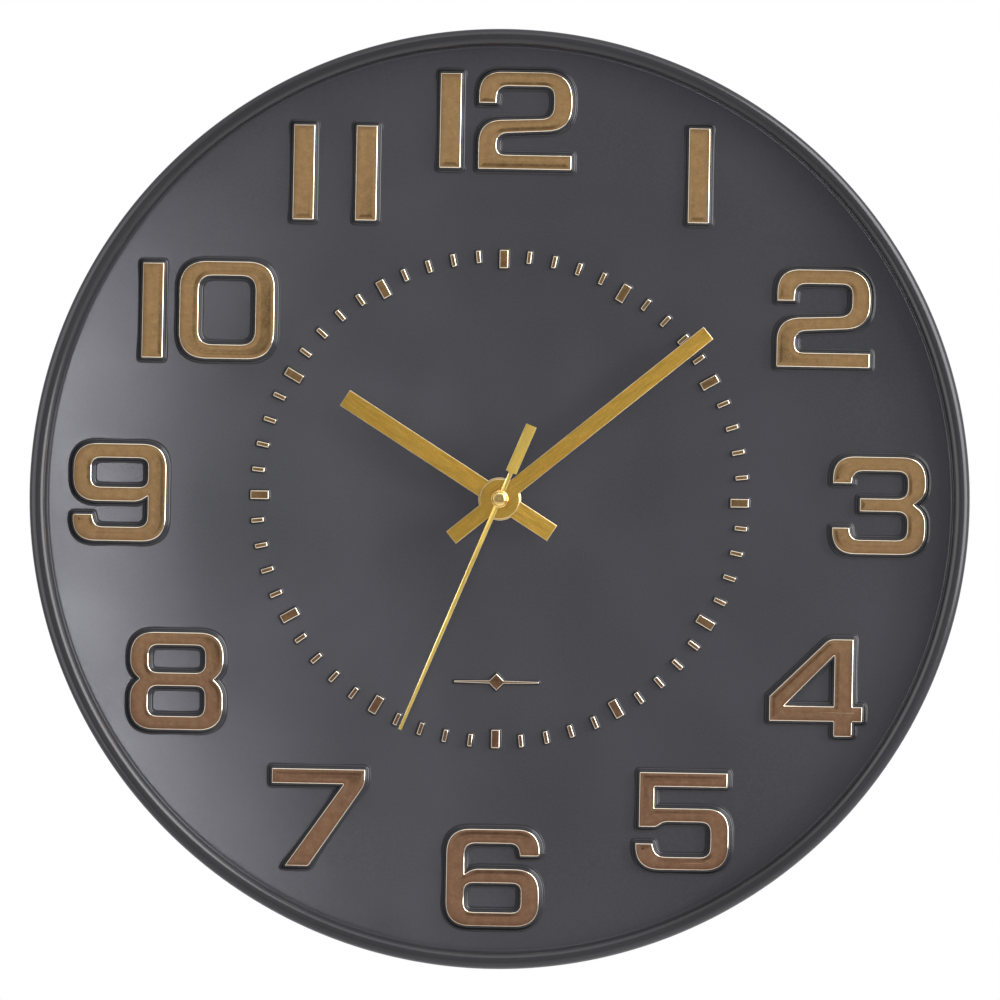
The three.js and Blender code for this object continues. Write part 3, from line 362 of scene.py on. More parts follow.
def printed_sleeve():
    """The battery's shrink sleeve: slate blue, with a copper band round the positive end and a thin pale line."""
    material, tree, shader, place = new_material("cell_sleeve")
    low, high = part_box("battery_sleeve")
    along = node(tree, "SeparateXYZ", Vector=place).outputs["X"]
    share = spread(tree, along, 0, 1, low.x, high.x)
    print_colours = [
        (0.0, (0.030, 0.060, 0.110)),
        (0.70, (0.62, 0.62, 0.60)),
        (0.715, (0.42, 0.17, 0.06)),
        (0.97, (0.030, 0.060, 0.110)),
    ]
    base = ramp(tree, share, print_colours, "CONSTANT")
    wear = noise(tree, place, 500, 4, 0.7)
    base = mixed(tree, spread(tree, wear, 0, 0.45, 0.5, 0.8), base, (0.10, 0.12, 0.15))
    link(tree, base, shader, "Base Color")
    link(tree, spread(tree, noise(tree, place, 160), 0.18, 0.34), shader, "Roughness")
    link(tree, bumps(tree, wear, 0.02 * MM), shader, "Normal")
    return material


def floor_paint():
    material, tree, shader, place = new_material("floor")
    tone = noise(tree, place, 1.5, 3)
    link(tree, ramp(tree, tone, [(0.3, (0.74, 0.74, 0.74)), (0.7, (0.80, 0.80, 0.80))]), shader, "Base Color")
    link(tree, spread(tree, tone, 0.6, 0.8), shader, "Roughness")
    return material


MATERIALS = {
    "case_plastic": case_plastic(),
    "bronze_foil": bronze_foil(),
    "hand_metal": brushed_gold("hand_metal", (0.94, 0.57, 0.115), (0.66, 0.41, 0.07)),
    "second_metal": brushed_gold("second_metal", (0.95, 0.70, 0.18), (0.74, 0.53, 0.12)),
    "boss_brass": polished("boss_brass", (0.92, 0.66, 0.24), (0.82, 0.55, 0.18), (0.08, 0.15)),
    "nut_brass": polished("nut_brass", (0.66, 0.50, 0.24), (0.52, 0.38, 0.17), (0.2, 0.36), 900),
    "movement_plastic": moulded("movement_plastic", (0.020, 0.020, 0.022), (0.013, 0.013, 0.015), (0.42, 0.58)),
    "gear_plastic": moulded("gear_plastic", (0.78, 0.75, 0.66), (0.70, 0.66, 0.56), (0.30, 0.42), 900, 0.01, 0.15),
    "arbor_steel": polished("arbor_steel", (0.62, 0.62, 0.64), (0.48, 0.48, 0.50), (0.14, 0.28)),
    "washer_rubber": moulded("washer_rubber", (0.022, 0.021, 0.020), (0.012, 0.012, 0.012), (0.75, 0.92), 1100, 0.05),
    "board": circuit_board(),
    "chip_epoxy": moulded("chip_epoxy", (0.014, 0.014, 0.015), (0.008, 0.008, 0.009), (0.16, 0.3), 500, 0.05),
    "crystal_can": polished("crystal_can", (0.80, 0.80, 0.81), (0.66, 0.66, 0.68), (0.1, 0.2), 300),
    "coil_copper": wound_copper(),
    "bobbin_plastic": moulded("bobbin_plastic", (0.70, 0.64, 0.50), (0.60, 0.54, 0.41), (0.4, 0.55), 1200, 0.02),
    "stator_iron": metal("stator_iron", (0.42, 0.42, 0.44), (0.28, 0.28, 0.30), (0.34, 0.52), (300, 300, 2400)),
    "contact_steel": metal("contact_steel", (0.72, 0.72, 0.72), (0.56, 0.56, 0.57), (0.18, 0.34), (200, 200, 2600)),
    "cell_steel": metal("cell_steel", (0.70, 0.70, 0.71), (0.56, 0.56, 0.58), (0.18, 0.32), (2400, 220, 220)),
    "cell_sleeve": printed_sleeve(),
    "knob_plastic": moulded("knob_plastic", (0.026, 0.026, 0.028), (0.017, 0.017, 0.019), (0.36, 0.5), 1500, 0.03),
}


# ---- Meshes ----

def new_piece(name, mesh, material, body=BODY, place=None, smooth=32):
    """Turns a bmesh into a shaded piece that rides on a body."""
    bmesh.ops.remove_doubles(mesh, verts=mesh.verts, dist=1e-7)
    bmesh.ops.recalc_face_normals(mesh, faces=mesh.faces)
    data = bpy.data.meshes.new(name)
    mesh.to_mesh(data)
    mesh.free()
    data.shade_smooth()
    data.set_sharp_from_angle(angle=math.radians(smooth))
    data.materials.append(MATERIALS[material])
    piece = bpy.data.objects.new(name, data)
    bpy.context.scene.collection.objects.link(piece)
    if place is not None:
        piece.matrix_world = place
    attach(piece, body)
    return piece


def lathe(mesh, profile, segments, axis="Y", centre=AXIS):
    """Turns a profile of (radius, station) about the dial's axis or another one. It may end on the axis."""
    rings = []
    for radius, station in profile:
        ring = []
        for i in range(segments if radius > 1e-9 else 1):
            turn = 2 * math.pi * i / segments
            across, up = radius * math.sin(turn), radius * math.cos(turn)
            at = Vector((across, station, up)) if axis == "Y" else Vector((station, across, up))
            ring.append(mesh.verts.new(at + centre))
        rings.append(ring)
    for a, b in zip(rings, rings[1:]):
        for i in range(segments):
            j = (i + 1) % segments
            corners = [a[i % len(a)], a[j % len(a)], b[j % len(b)], b[i % len(b)]]
            face = [v for k, v in enumerate(corners) if v not in corners[:k]]
            if len(face) > 2:
                mesh.faces.new(face)


def arc(centre, radius, start, end, steps):
    """Points on an arc as (radius, station) or (u, v) pairs, angles in degrees."""
    turns = [math.radians(start + (end - start) * i / steps) for i in range(steps + 1)]
    return [(centre[0] + radius * math.cos(t), centre[1] + radius * math.sin(t)) for t in turns]


def corner_outline(corners, least=0.15):
    """A closed outline of [x, y, radius] corners in mm, listed clockwise, as a function of how far it is grown."""
    count = len(corners)
    at = [Vector((c[0], c[1])) for c in corners]
    arms = [max(c[2] if len(c) > 2 else 0, least) for c in corners]

    def points(grow):
        traced = []
        for i in range(count):
            before = (at[i] - at[i - 1]).normalized()
            after = (at[(i + 1) % count] - at[i]).normalized()
            normals = Vector((-before.y, before.x)), Vector((-after.y, after.x))
            corner = at[i] + (normals[0] + normals[1]) * (grow / (1 + normals[0].dot(normals[1])))
            turn = math.atan2(before.cross(after), before.dot(after))
            arm = max(arms[i] - grow * math.tan(turn / 2), 0.03)
            steps = max(3, round(arms[i] * 1.6))
            for step in range(steps + 1):
                t = step / steps
                start, end = corner - before * arm, corner + after * arm
                traced.append(start * (1 - t) ** 2 + corner * (2 * t * (1 - t)) + end * t**2)
        return traced

    return points


def rectangle(x0, x1, y0, y1, radius=0.0):
    return [[x0, y0, radius], [x0, y1, radius], [x1, y1, radius], [x1, y0, radius]]


def shifted(corners, x, y, turn=1):
    return [[x + turn * c[0], y + turn * c[1], *c[2:]] for c in corners]


def loft(mesh, outlines, stations, to_space, cap_first=False, cap_last=True):
    """Skins outlines through stations of (grow, height), in mm. to_space turns (u, v, height) into a point."""
    rings = []
    for grow, height in stations:
        rings.append([[mesh.verts.new(to_space(p[0], p[1], height)) for p in o(grow)] for o in outlines])
    for low, high in zip(rings, rings[1:]):
        for a, b in zip(low, high):
            for i in range(len(a)):
                j = (i + 1) % len(a)
                mesh.faces.new((a[i], a[j], b[j], b[i]))
    for wanted, ring in ((cap_first, rings[0]), (cap_last, rings[-1])):
        if wanted:
            flat = [v for loop in ring for v in loop]
            for triangle in tessellate_polygon([[v.co for v in loop] for loop in ring]):
                mesh.faces.new([flat[i] for i in triangle])


# ---- Numerals ----

# Squared extended figures, about 30 mm wide and 31 mm high, each about its own centre.
WIDE = 15
TALL = 15.7
UPRIGHT = 6.0
LEVEL = 4.8
BEND = 8
CROOK = 3.3
CRISP = 0.4
IN_X = WIDE - UPRIGHT
IN_Y = TALL - LEVEL

FIGURES = {
    "bar": [rectangle(-3.5, 3.5, -15.3, 15.3, CRISP)],
    "zero": [
        rectangle(-WIDE - 0.3, WIDE + 0.3, -TALL, TALL, BEND + 1),
        rectangle(-IN_X, IN_X, -IN_Y, IN_Y, CROOK + 1.2),
    ],
    "two": [
        [
            [-WIDE, -TALL, CRISP], [-WIDE, 0, BEND - 0.5], [IN_X, 0.9, 4], [IN_X, IN_Y, CROOK],
            [-IN_X, IN_Y, CROOK], [-IN_X - 0.3, 5.4], [-WIDE, 5.4], [-WIDE, TALL, BEND - 0.5],
            [WIDE, TALL, BEND + 1], [WIDE, -3, BEND], [-IN_X, -4.3, CROOK], [-IN_X, -IN_Y, 2.6],
            [WIDE, -IN_Y, CRISP], [WIDE, -TALL, CRISP],
        ]
    ],
    "three": [
        [
            [-WIDE, 6.9], [-WIDE, TALL, BEND - 0.8], [WIDE, TALL, BEND], [WIDE, 3, 3.2], [WIDE - 3.8, 0.5],
            [WIDE, -2.4, 3.2], [WIDE, -TALL, BEND], [-WIDE, -TALL, BEND - 0.5], [-WIDE, -7.1],
            [-IN_X - 0.4, -7.1], [-IN_X, -IN_Y, 2.8], [IN_X, -IN_Y, CROOK], [IN_X, -2, CROOK],
            [-6.3, -2, CRISP], [-6.3, 2.4, CRISP], [IN_X, 2.4, CROOK], [IN_X, IN_Y, CROOK],
            [-IN_X + 0.4, IN_Y, CROOK], [-IN_X + 0.2, 6.9],
        ]
    ],
    "four": [
        [
            [-WIDE, -2.9], [3.9, TALL, 1.6], [11.8, TALL, CRISP], [11.8, -5.9], [WIDE, -5.9, CRISP],
            [WIDE, -10.9, CRISP], [11.8, -10.9], [11.8, -TALL, 0.8], [5.6, -TALL, 0.8], [5.6, -10.9],
            [-WIDE, -10.9, CRISP],
        ],
        [[-10, -5.8], [5.6, 10.2], [5.6, -5.8]],
    ],
    "five": [
        [
            [-14, -2], [-14, TALL, CRISP], [14.3, TALL, CRISP], [14.3, IN_Y, CRISP], [-IN_X, IN_Y],
            [-IN_X, 4.3], [WIDE, 4.3, BEND - 0.5], [WIDE, -TALL, BEND], [-WIDE, -TALL, BEND], [-WIDE, -7.1],
            [-IN_X - 0.4, -7.1], [-IN_X + 0.4, -IN_Y - 0.4, CROOK], [IN_X, -IN_Y - 0.4, CROOK],
            [IN_X, -0.3, CROOK], [-6.2, -0.3, 1.6], [-8.3, -2, 1],
        ]
    ],
    "six": [
        [
            [-WIDE, TALL, BEND], [WIDE, TALL, BEND - 0.5], [WIDE, 7, 0.9], [IN_X - 0.4, 7],
            [IN_X - 1.2, IN_Y, 2.4], [-IN_X, IN_Y, CROOK], [-IN_X, 1.2], [-6.5, 3, 2.2], [WIDE, 3, BEND],
            [WIDE, -TALL, BEND], [-WIDE, -TALL, BEND],
        ],
        rectangle(-IN_X, IN_X, -IN_Y, -1.8, 2.8),
    ],
    "seven": [
        [
            [-WIDE, TALL, CRISP], [WIDE, TALL, 0.6], [WIDE, 10.7, 2], [-2.8, -TALL, 0.6],
            [-10.6, -TALL, 0.6], [7.9, 10.7], [-WIDE, 10.7, CRISP],
        ]
    ],
    "eight": [
        [
            [-WIDE, TALL, BEND], [WIDE, TALL, BEND], [WIDE, 3.3, 3.2], [WIDE - 3, 0.6], [WIDE, -2.1, 3.2],
            [WIDE, -TALL, BEND], [-WIDE, -TALL, BEND], [-WIDE, -2.1, 3.2], [-WIDE + 3, 0.6],
            [-WIDE, 3.3, 3.2],
        ],
        rectangle(-IN_X, IN_X, 2.8, 11.4, 3),
        rectangle(-IN_X, IN_X, -11.1, -1.7, 3),
    ],
}

# Foil node, figure, and -1 where the figure is turned half round.
NUMERALS = [
    ("foil_12_one", "bar", 1), ("foil_12_two", "two", 1), ("foil_1", "bar", 1), ("foil_2", "two", 1),
    ("foil_3", "three", 1), ("foil_4", "four", 1), ("foil_5", "five", 1), ("foil_6", "six", 1),
    ("foil_7", "seven", 1), ("foil_8", "eight", 1), ("foil_9", "six", -1), ("foil_10_one", "bar", 1),
    ("foil_10_zero", "zero", 1), ("foil_11_left", "bar", 1), ("foil_11_right", "bar", 1),
]


def closed_outlines(loops):
    """Outline functions for an edge and its holes, all listed clockwise. A hole is traced the other way."""
    return [corner_outline(loops[0])] + [corner_outline(hole[::-1]) for hole in loops[1:]]


# The dial falls away very slightly towards the rim.
FALL_FROM = 96 * MM
FALL_SLOPE = math.tan(math.radians(2.6))


def dial_fall(radius):
    past = max(0.0, radius - FALL_FROM)
    return FALL_SLOPE * past * past / (2 * (DIAL_R - FALL_FROM))


def on_dial(u, v, height):
    """A point over the dial: u right and v up from its axis, height out from its face, all in mm."""
    x, z = u * MM, v * MM
    return Vector((x, DIAL_Y + dial_fall(math.hypot(x, z)) - height * MM, AXIS_Z + z))


# Sections as (grow, height) in mm from the foot to the top. The feet start a little inside the dial.
NUMERAL_TOP = RELIEF / MM
SKIRT = [
    (1.9, -0.3), (1.65, 0.0), (1.35, 0.03), (1.1, 0.1), (0.88, 0.25), (0.72, 0.5), (0.42, 1.05), (0.3, 1.17),
    (0.0, 1.2),
]
EDGE_ROUND = 0.5
EDGE_INSET = 0.03
DOME_RISE = 0.075          # how far a numeral's foil is crowned, from its rounded edge in to DOME_REACH
DOME_REACH = 2.05
DOME_STEPS = (0.08, 0.3, 0.55, 0.8, 1)
EDGE_TOP = NUMERAL_TOP - DOME_RISE
FOIL_EDGE = arc((-EDGE_INSET - EDGE_ROUND, EDGE_TOP - EDGE_ROUND), EDGE_ROUND, 8, 84, 7)
for share in DOME_STEPS:
    inset = EDGE_ROUND + (DOME_REACH - EDGE_ROUND) * share
    FOIL_EDGE.append((-inset, EDGE_TOP + DOME_RISE * share * (2 - share)))
MARK_TOP = MARK_RELIEF / MM
MARK_SKIRT = [(0.8, -0.3), (0.7, 0.0), (0.5, 0.05), (0.38, 0.18), (0.2, 0.55), (0.0, 0.6)]
MARK_ROUND = 0.42
MARK_LAP = 0.08            # how far a mark's foil laps over its outline
MARK_FLAT = 0.45           # the foil is flat from this far inside it
MARK_EDGE = arc((MARK_LAP - MARK_ROUND, MARK_TOP - MARK_ROUND), MARK_ROUND, 10, 84, 6)
MARK_EDGE.append((-MARK_FLAT, MARK_TOP))


def numeral_loops(node_name, figure, turn):
    """The figure's corners, put where the CAD foil is."""
    centre = middle(node_name)
    loops = FIGURES[figure]
    xs = [turn * c[0] for c in loops[0]]
    ys = [turn * c[1] for c in loops[0]]
    x = centre.x / MM - (min(xs) + max(xs)) / 2
    y = (centre.z - AXIS_Z) / MM - (min(ys) + max(ys)) / 2
    return [shifted(loop, x, y, turn) for loop in loops]


relief = bmesh.new()
for foil_node, figure, turn in NUMERALS:
    outlines = closed_outlines(numeral_loops(foil_node, figure, turn))
    loft(relief, outlines, SKIRT, on_dial)
    foil = bmesh.new()
    loft(foil, outlines, FOIL_EDGE, on_dial)
    piece = new_piece(foil_node.replace("foil", "numeral"), foil, "bronze_foil")
    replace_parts(piece, foil_node)

# Sixty minute marks, the larger ones at the hours: (width, length) in mm.
MARK_OUTER = 79.6
HOUR_MARK = (2.7, 5.8)
MINUTE_MARK = (1.35, 3.9)
MARK_CORNER = 0.3

mark_foils = bmesh.new()
for minute in range(60):
    width, length = HOUR_MARK if minute % 5 == 0 else MINUTE_MARK
    angle = math.radians(6 * minute)
    mark = closed_outlines([rectangle(-width / 2, width / 2, MARK_OUTER - length, MARK_OUTER, MARK_CORNER)])

    def turned(u, v, height, c=math.cos(angle), s=math.sin(angle)):
        return on_dial(u * c + v * s, v * c - u * s, height)

    loft(relief, mark, MARK_SKIRT, turned)
    loft(mark_foils, mark, MARK_EDGE, turned)
new_piece("minute_mark_foils", mark_foils, "bronze_foil")

# A plain emblem: a lozenge on a bar that tapers to each end.
emblem_at = (middle("foil_emblem").z - AXIS_Z) / MM
EMBLEM = [
    [-13.5, -0.25], [-13.5, 0.25], [-2.25, 0.45], [0, 2.7], [2.25, 0.45], [13.5, 0.25], [13.5, -0.25],
    [2.25, -0.45], [0, -2.7], [-2.25, -0.45],
]
EMBLEM_CORNER = 0.1
EMBLEM_ROUND = 0.7         # its foil's edge, as a share of a mark's
emblem = [corner_outline(shifted(EMBLEM, 0, emblem_at), EMBLEM_CORNER)]
loft(relief, emblem, MARK_SKIRT, on_dial)
emblem_foil = bmesh.new()
loft(emblem_foil, emblem, [(grow * EMBLEM_ROUND, height) for grow, height in MARK_EDGE], on_dial)
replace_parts(new_piece("emblem", emblem_foil, "bronze_foil"), "foil_emblem")


# ---- Case ----

BUSH_HOLE_R = 4.1 * MM
HOLE_CHAMFER = 0.2 * MM
RING_STEP = 4 * MM         # between the dial's rings, from FIRST_RING out
FIRST_RING = 3 * RING_STEP
RIM_WALL = 2.4 * MM
BEAD_R = 2.6 * MM
BEAD_X = CLOCK_R - BEAD_R
BEAD_Y = RIM_FRONT_Y + BEAD_R
BEAD_IN = BEAD_X - BEAD_R
FILLET = 0.35 * MM         # where the dial meets the bead
FILLET_GAPS = (1.5, 0.9, 0.4, 0.1)
DIAL_FOOT = DIAL_Y + dial_fall(DIAL_R)
SINK = 0.3 * MM            # how far the bead goes into the dial
SEAM_R = DIAL_R + 0.5 * MM
SEAM_LAP = 1.2 * MM        # how far the dial goes into the rim past the seam
RIM_LAP = 0.4 * MM         # and the rim into the dial
REAR_OUTSIDE = 0.6 * MM    # the wall's rounded rear edge
REAR_INSIDE = 0.5 * MM
CORNER_R = 2 * MM          # inside, where the wall meets the dial's back
CORNER_STEP = 0.3 * MM


def dial_profile():
    """The dial's section as (radius, y): its face from the bush hole to the fillet, and its back."""
    hole = [(BUSH_HOLE_R, DIAL_BACK_Y), (BUSH_HOLE_R, DIAL_Y + HOLE_CHAMFER), (BUSH_HOLE_R + HOLE_CHAMFER, DIAL_Y)]
    radii = []
    radius = FIRST_RING
    while radius < DIAL_R - RING_STEP:
        radii.append(radius)
        radius += RING_STEP
    # Rings close to the fillet keep its turn out of the face's shading.
    fillet_r = BEAD_IN - FILLET
    radii += [fillet_r - gap * MM for gap in FILLET_GAPS]
    face = [(radius, DIAL_Y + dial_fall(radius)) for radius in radii]
    fillet = arc((fillet_r, DIAL_FOOT - FILLET), FILLET, 90, 30, 6)
    edge_r = SEAM_R + SEAM_LAP
    return hole + face + fillet + [(edge_r, DIAL_FOOT), (edge_r, DIAL_BACK_Y), (BUSH_HOLE_R, DIAL_BACK_Y)]


def rim_profile():
    """The rim's section as (radius, y), once round: rolled bead, skirt, rear edge and inside."""
    wall_in = CLOCK_R - RIM_WALL
    bead = [(BEAD_IN, DIAL_FOOT + SINK)] + arc((BEAD_X, BEAD_Y), BEAD_R, 180, 360, 36)
    rear = arc((CLOCK_R - REAR_OUTSIDE, WALL_Y - REAR_OUTSIDE), REAR_OUTSIDE, 0, 90, 5)
    rear += arc((wall_in + REAR_INSIDE, WALL_Y - REAR_INSIDE), REAR_INSIDE, 90, 180, 4)
    corner = arc((wall_in - CORNER_R - CORNER_STEP, DIAL_BACK_Y + CORNER_R), CORNER_R, 0, -90, 6)
    return bead + rear + corner + [(SEAM_R - RIM_LAP, DIAL_FOOT + SINK), (BEAD_IN, DIAL_FOOT + SINK)]


CASE_SEGMENTS = 360
dial = bmesh.new()
lathe(dial, dial_profile(), CASE_SEGMENTS)
dial_piece = new_piece("dial_face", dial, "case_plastic", smooth=40)
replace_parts(dial_piece, "case_dial")
rim = bmesh.new()
lathe(rim, rim_profile(), CASE_SEGMENTS)
rim_piece = new_piece("rolled_rim", rim, "case_plastic", smooth=40)
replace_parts(rim_piece, "case_rim")
new_piece("dial_relief", relief, "case_plastic", smooth=50)


# ---- Back of the case ----

def behind_dial(u, v, height):
    """A point behind the dial: u and v from its axis, height off its back, all in mm."""
    return Vector((u * MM, DIAL_BACK_Y + height * MM, AXIS_Z + v * MM))


# Sizes in mm. Sections are (grow, height), and the ring's is (distance out from its middle, height).
RIB_COUNT = 8
RIB_HALF = 0.8
RIB_TOP = (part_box("case_ribs")[1].y - DIAL_BACK_Y) / MM
RIB_SECTION = [(0.45, -0.2), (0.2, 0.1), (0.05, 0.5), (-0.08, RIB_TOP - 0.2), (-0.25, RIB_TOP)]
RIB_OUT = CLOCK_R / MM - 2.6
FENCE_OUT = 30.0           # from the axis to the outside of the square fence round the movement
FENCE_IN = 28.6
FENCE_CORNERS = (2.5, 1.4)
FENCE_SECTION = [(0.3, -0.2), (0.05, 0.3), (0, 1.8), (-0.2, 2.0)]
RIB_IN = FENCE_OUT + 1.4
RING_R = 100.7
RING_SECTION = [
    (1.1, -0.2), (0.85, 0.3), (0.65, 2.8), (0.45, 3.0), (-0.45, 3.0), (-0.65, 2.8), (-0.85, 0.3), (-1.1, -0.2),
]
back = bmesh.new()
for i in range(RIB_COUNT):
    angle = 2 * math.pi * (i + 0.5) / RIB_COUNT

    def along(u, v, height, c=math.cos(angle), s=math.sin(angle)):
        return behind_dial(u * c + v * s, v * c - u * s, height)

    rib = [corner_outline(rectangle(-RIB_HALF, RIB_HALF, RIB_IN, RIB_OUT))]
    loft(back, rib, RIB_SECTION, along)
fence_outside = rectangle(-FENCE_OUT, FENCE_OUT, -FENCE_OUT, FENCE_OUT, FENCE_CORNERS[0])
fence_inside = rectangle(-FENCE_IN, FENCE_IN, -FENCE_IN, FENCE_IN, FENCE_CORNERS[1])
loft(back, closed_outlines([fence_outside, fence_inside]), FENCE_SECTION, behind_dial)
lathe(back, [((RING_R + x) * MM, DIAL_BACK_Y + y * MM) for x, y in RING_SECTION], 240)
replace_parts(new_piece("case_back_ribs", back, "case_plastic"), "case_ribs")

HANGER_LOW, HANGER_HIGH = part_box("hanger")
HANG_V = -AXIS_Z / MM          # the nail's height above the dial's axis
SLOT_R = 2.4
HOLE_R = 4.8
HOLE_DROP = 11                 # from the nail down to the middle of the round opening
PLATE_DEPTH = 2
CHEEK = 0.8                    # from the hanger's side to the middle of its side wall
CHEEK_HALF = 0.75


def keyhole(grow):
    """The keyhole's edge, traced against the clock: a round opening with a slot above it."""
    slot, hole = SLOT_R - grow, HOLE_R - grow
    top, centre = HANG_V - SLOT_R, HANG_V - HOLE_DROP
    meet = math.degrees(math.acos(slot / hole))
    edge = arc((0, top), slot, 0, 180, 14) + arc((0, centre), hole, 180 - meet, 360 + meet, 36)
    return [Vector(p) for p in edge]


hang = bmesh.new()
u0, u1 = HANGER_LOW.x / MM, HANGER_HIGH.x / MM
v0, v1 = (HANGER_LOW.z - AXIS_Z) / MM, (HANGER_HIGH.z - AXIS_Z) / MM
plate_rear = (HANGER_HIGH.y - DIAL_BACK_Y) / MM
plate_front = plate_rear - PLATE_DEPTH
hanger_plate = [corner_outline(rectangle(u0, u1, v0, v1, 0.8)), keyhole]
plate_section = [(-0.2, plate_front), (0, plate_front + 0.2), (0, plate_rear - 0.3), (-0.3, plate_rear)]
loft(hang, hanger_plate, plate_section, behind_dial, cap_first=True)
cheek_section = [(0.5, -0.2), (0.1, 0.4), (0, 1), (0, plate_front + 0.6)]
for side in (u0 + CHEEK, u1 - CHEEK):
    cheek = [corner_outline(rectangle(side - CHEEK_HALF, side + CHEEK_HALF, v0 + 0.1, v1 - 0.1))]
    loft(hang, cheek, cheek_section, behind_dial)
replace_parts(new_piece("hanger_bracket", hang, "case_plastic"), "hanger")


# ---- Hands ----

SHEET = 0.4 * MM
ROLLED = [(-0.04, SHEET / MM), (0, SHEET / MM - 0.04), (0, 0.2), (-0.06, 0.1), (-0.17, 0.035), (-0.32, 0)]
COLLET_WALL = (0.7 * MM, 0.8 * MM)     # at its rear and at the sheet
HUB_STEPS = 40


def hand_place(angle):
    return Matrix.Translation(AXIS) @ Matrix.Rotation(math.radians(angle), 4, "Y")


def bar_outline(length, tail, width, hub):
    """The outline of a bar through a round hub, pointing at twelve, in mm."""

    def points(grow):
        half, r = width / 2 + grow, hub + grow
        flank = math.degrees(math.acos(half / r))
        line = [(-half, -tail - grow)]
        line += arc((0, 0), r, 180 + flank, 180 - flank, HUB_STEPS)
        line += [(-half, length + grow), (half, length + grow)]
        line += arc((0, 0), r, flank, -flank, HUB_STEPS)
        line += [(half, -tail - grow)]
        return [Vector(p) for p in line]

    return points


def round_hole(radius, sides=48):
    last = 360 * (sides - 1) / sides
    return lambda grow: [Vector(p) for p in arc((0, 0), radius - grow, 0, last, sides - 1)]


def flat_hand(name, node_name, body, angle, sizes, bore):
    """A stamped sheet hand with slightly rolled edges and the collet that grips its pipe."""
    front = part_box(node_name)[0].y
    hand = bmesh.new()
    outlines = [bar_outline(*sizes), round_hole(bore)]
    loft(hand, outlines, ROLLED, lambda u, v, h: Vector((u * MM, front + h * MM, v * MM)), cap_first=True)
    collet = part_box(node_name)[1].y
    bore_r = bore * MM
    sleeve = [(bore_r, front + SHEET), (bore_r, collet), (bore_r + COLLET_WALL[0], collet)]
    sleeve.append((bore_r + COLLET_WALL[1], front + SHEET))
    lathe(hand, sleeve, 48, centre=Vector())
    piece = new_piece(name, hand, "hand_metal", body, place=hand_place(angle), smooth=24)
    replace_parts(piece, node_name)


# Angles in degrees clockwise from twelve. Sizes are length, tail, width and hub radius in mm.
HOUR_ANGLE = 302.2
MINUTE_ANGLE = 50.5
SECOND_ANGLE = 202.4
flat_hand("hour_hand_sheet", "hour_hand", "hours_body", HOUR_ANGLE, (59, 20, 5.9, 6.85), 2.6)
flat_hand("minute_hand_sheet", "minute_hand", "minutes_body", MINUTE_ANGLE, (85, 19.8, 5.0, 6.4), 1.7)

# The second hand has a crease along its middle. Each station is (distance out, half width, crease height) in mm.
SECOND_STATIONS = [
    (80, 0.48, 0.05), (79.8, 0.5, 0.09), (40, 0.62, 0.14), (2, 0.75, 0.16), (0, 0.75, 0.16), (-2, 0.73, 0.16),
    (-8, 0.65, 0.12), (-9.1, 0.68, 0.10), (-9.25, 1.78, 0.06), (-9.4, 1.8, 0.05), (-25.3, 1.8, 0.05),
    (-25.5, 1.72, 0.02),
]
SECOND_REAR = 0.34         # distances behind the hand's foremost line: its rear and the front of its flanks
SECOND_EDGE = 0.16
SHOULDER = 0.05            # and the shoulder between flank and crease, where the crease is flat
SHOULDER_FALL = 0.6        # how much farther back it lies where there is a crease, as a share of that
SHOULDER_IN = 0.35         # its distance in from the flank, as a share of the edge's width
EDGE_MOST = 0.16           # the edge's width at most, and as a share of the half width
EDGE_SHARE = 0.3
# Its hub as (radius, distance behind its foremost line) in mm.
SECOND_HUB = [(0.7, 0.1), (2.2, 0.1), (2.2, 0.36), (1.1, 0.42), (1.1, 0.9), (0.7, 0.9)]
second_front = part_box("second_hand")[0].y
second = bmesh.new()
second_rows = []
for out, half, crease in SECOND_STATIONS:
    edge = min(EDGE_MOST, half * EDGE_SHARE)
    flank = [(-half, SECOND_REAR), (-half, SECOND_EDGE)]
    flank.append((-half + edge * SHOULDER_IN, SHOULDER + crease * SHOULDER_FALL))
    section = flank + [(0, SECOND_EDGE - crease)] + [(-x, y) for x, y in flank[::-1]]
    row = [second.verts.new(Vector((x * MM, second_front + y * MM, out * MM))) for x, y in section]
    second_rows.append(row)
for a, b in zip(second_rows, second_rows[1:]):
    for i in range(len(a)):
        j = (i + 1) % len(a)
        second.faces.new((a[i], a[j], b[j], b[i]))
second.faces.new(second_rows[0])
second.faces.new(second_rows[-1][::-1])
lathe(second, [(radius * MM, second_front + y * MM) for radius, y in SECOND_HUB], 48, centre=Vector())
second_place = hand_place(SECOND_ANGLE)
second_piece = new_piece("second_hand_blade", second, "second_metal", "seconds_body", second_place, 20)
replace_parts(second_piece, "second_hand")

boss_low, boss_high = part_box("second_hand_boss")
boss_r = half_width("second_hand_boss")
boss_rear = boss_high.y
# Its flange as (distance in from its widest, distance in front of its rear) in mm.
FLANGE = [(0.1, 0), (0, 0.1), (0, 0.32), (0.12, 0.46), (0.36, 0.5)]
DOME_IN = 0.42 * MM        # where the dome starts, by the same measures
DOME_ROOT = 0.55 * MM
DOME_RINGS = 18
BOSS_BORE_R = 0.5 * MM
dome_r = boss_r - DOME_IN
dome_rise = boss_rear - DOME_ROOT - boss_low.y
boss_profile = [(BOSS_BORE_R, boss_rear)] + [(boss_r - inward * MM, boss_rear - out * MM) for inward, out in FLANGE]
for step in range(DOME_RINGS + 1):
    turn = math.pi / 2 * step / DOME_RINGS
    radius = dome_r * math.cos(turn) if step < DOME_RINGS else 0.0
    boss_profile.append((radius, boss_rear - DOME_ROOT - dome_rise * math.sin(turn)))
boss = bmesh.new()
lathe(boss, boss_profile, 72)
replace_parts(new_piece("boss_cap", boss, "boss_brass", "seconds_body", smooth=50), "second_hand_boss")


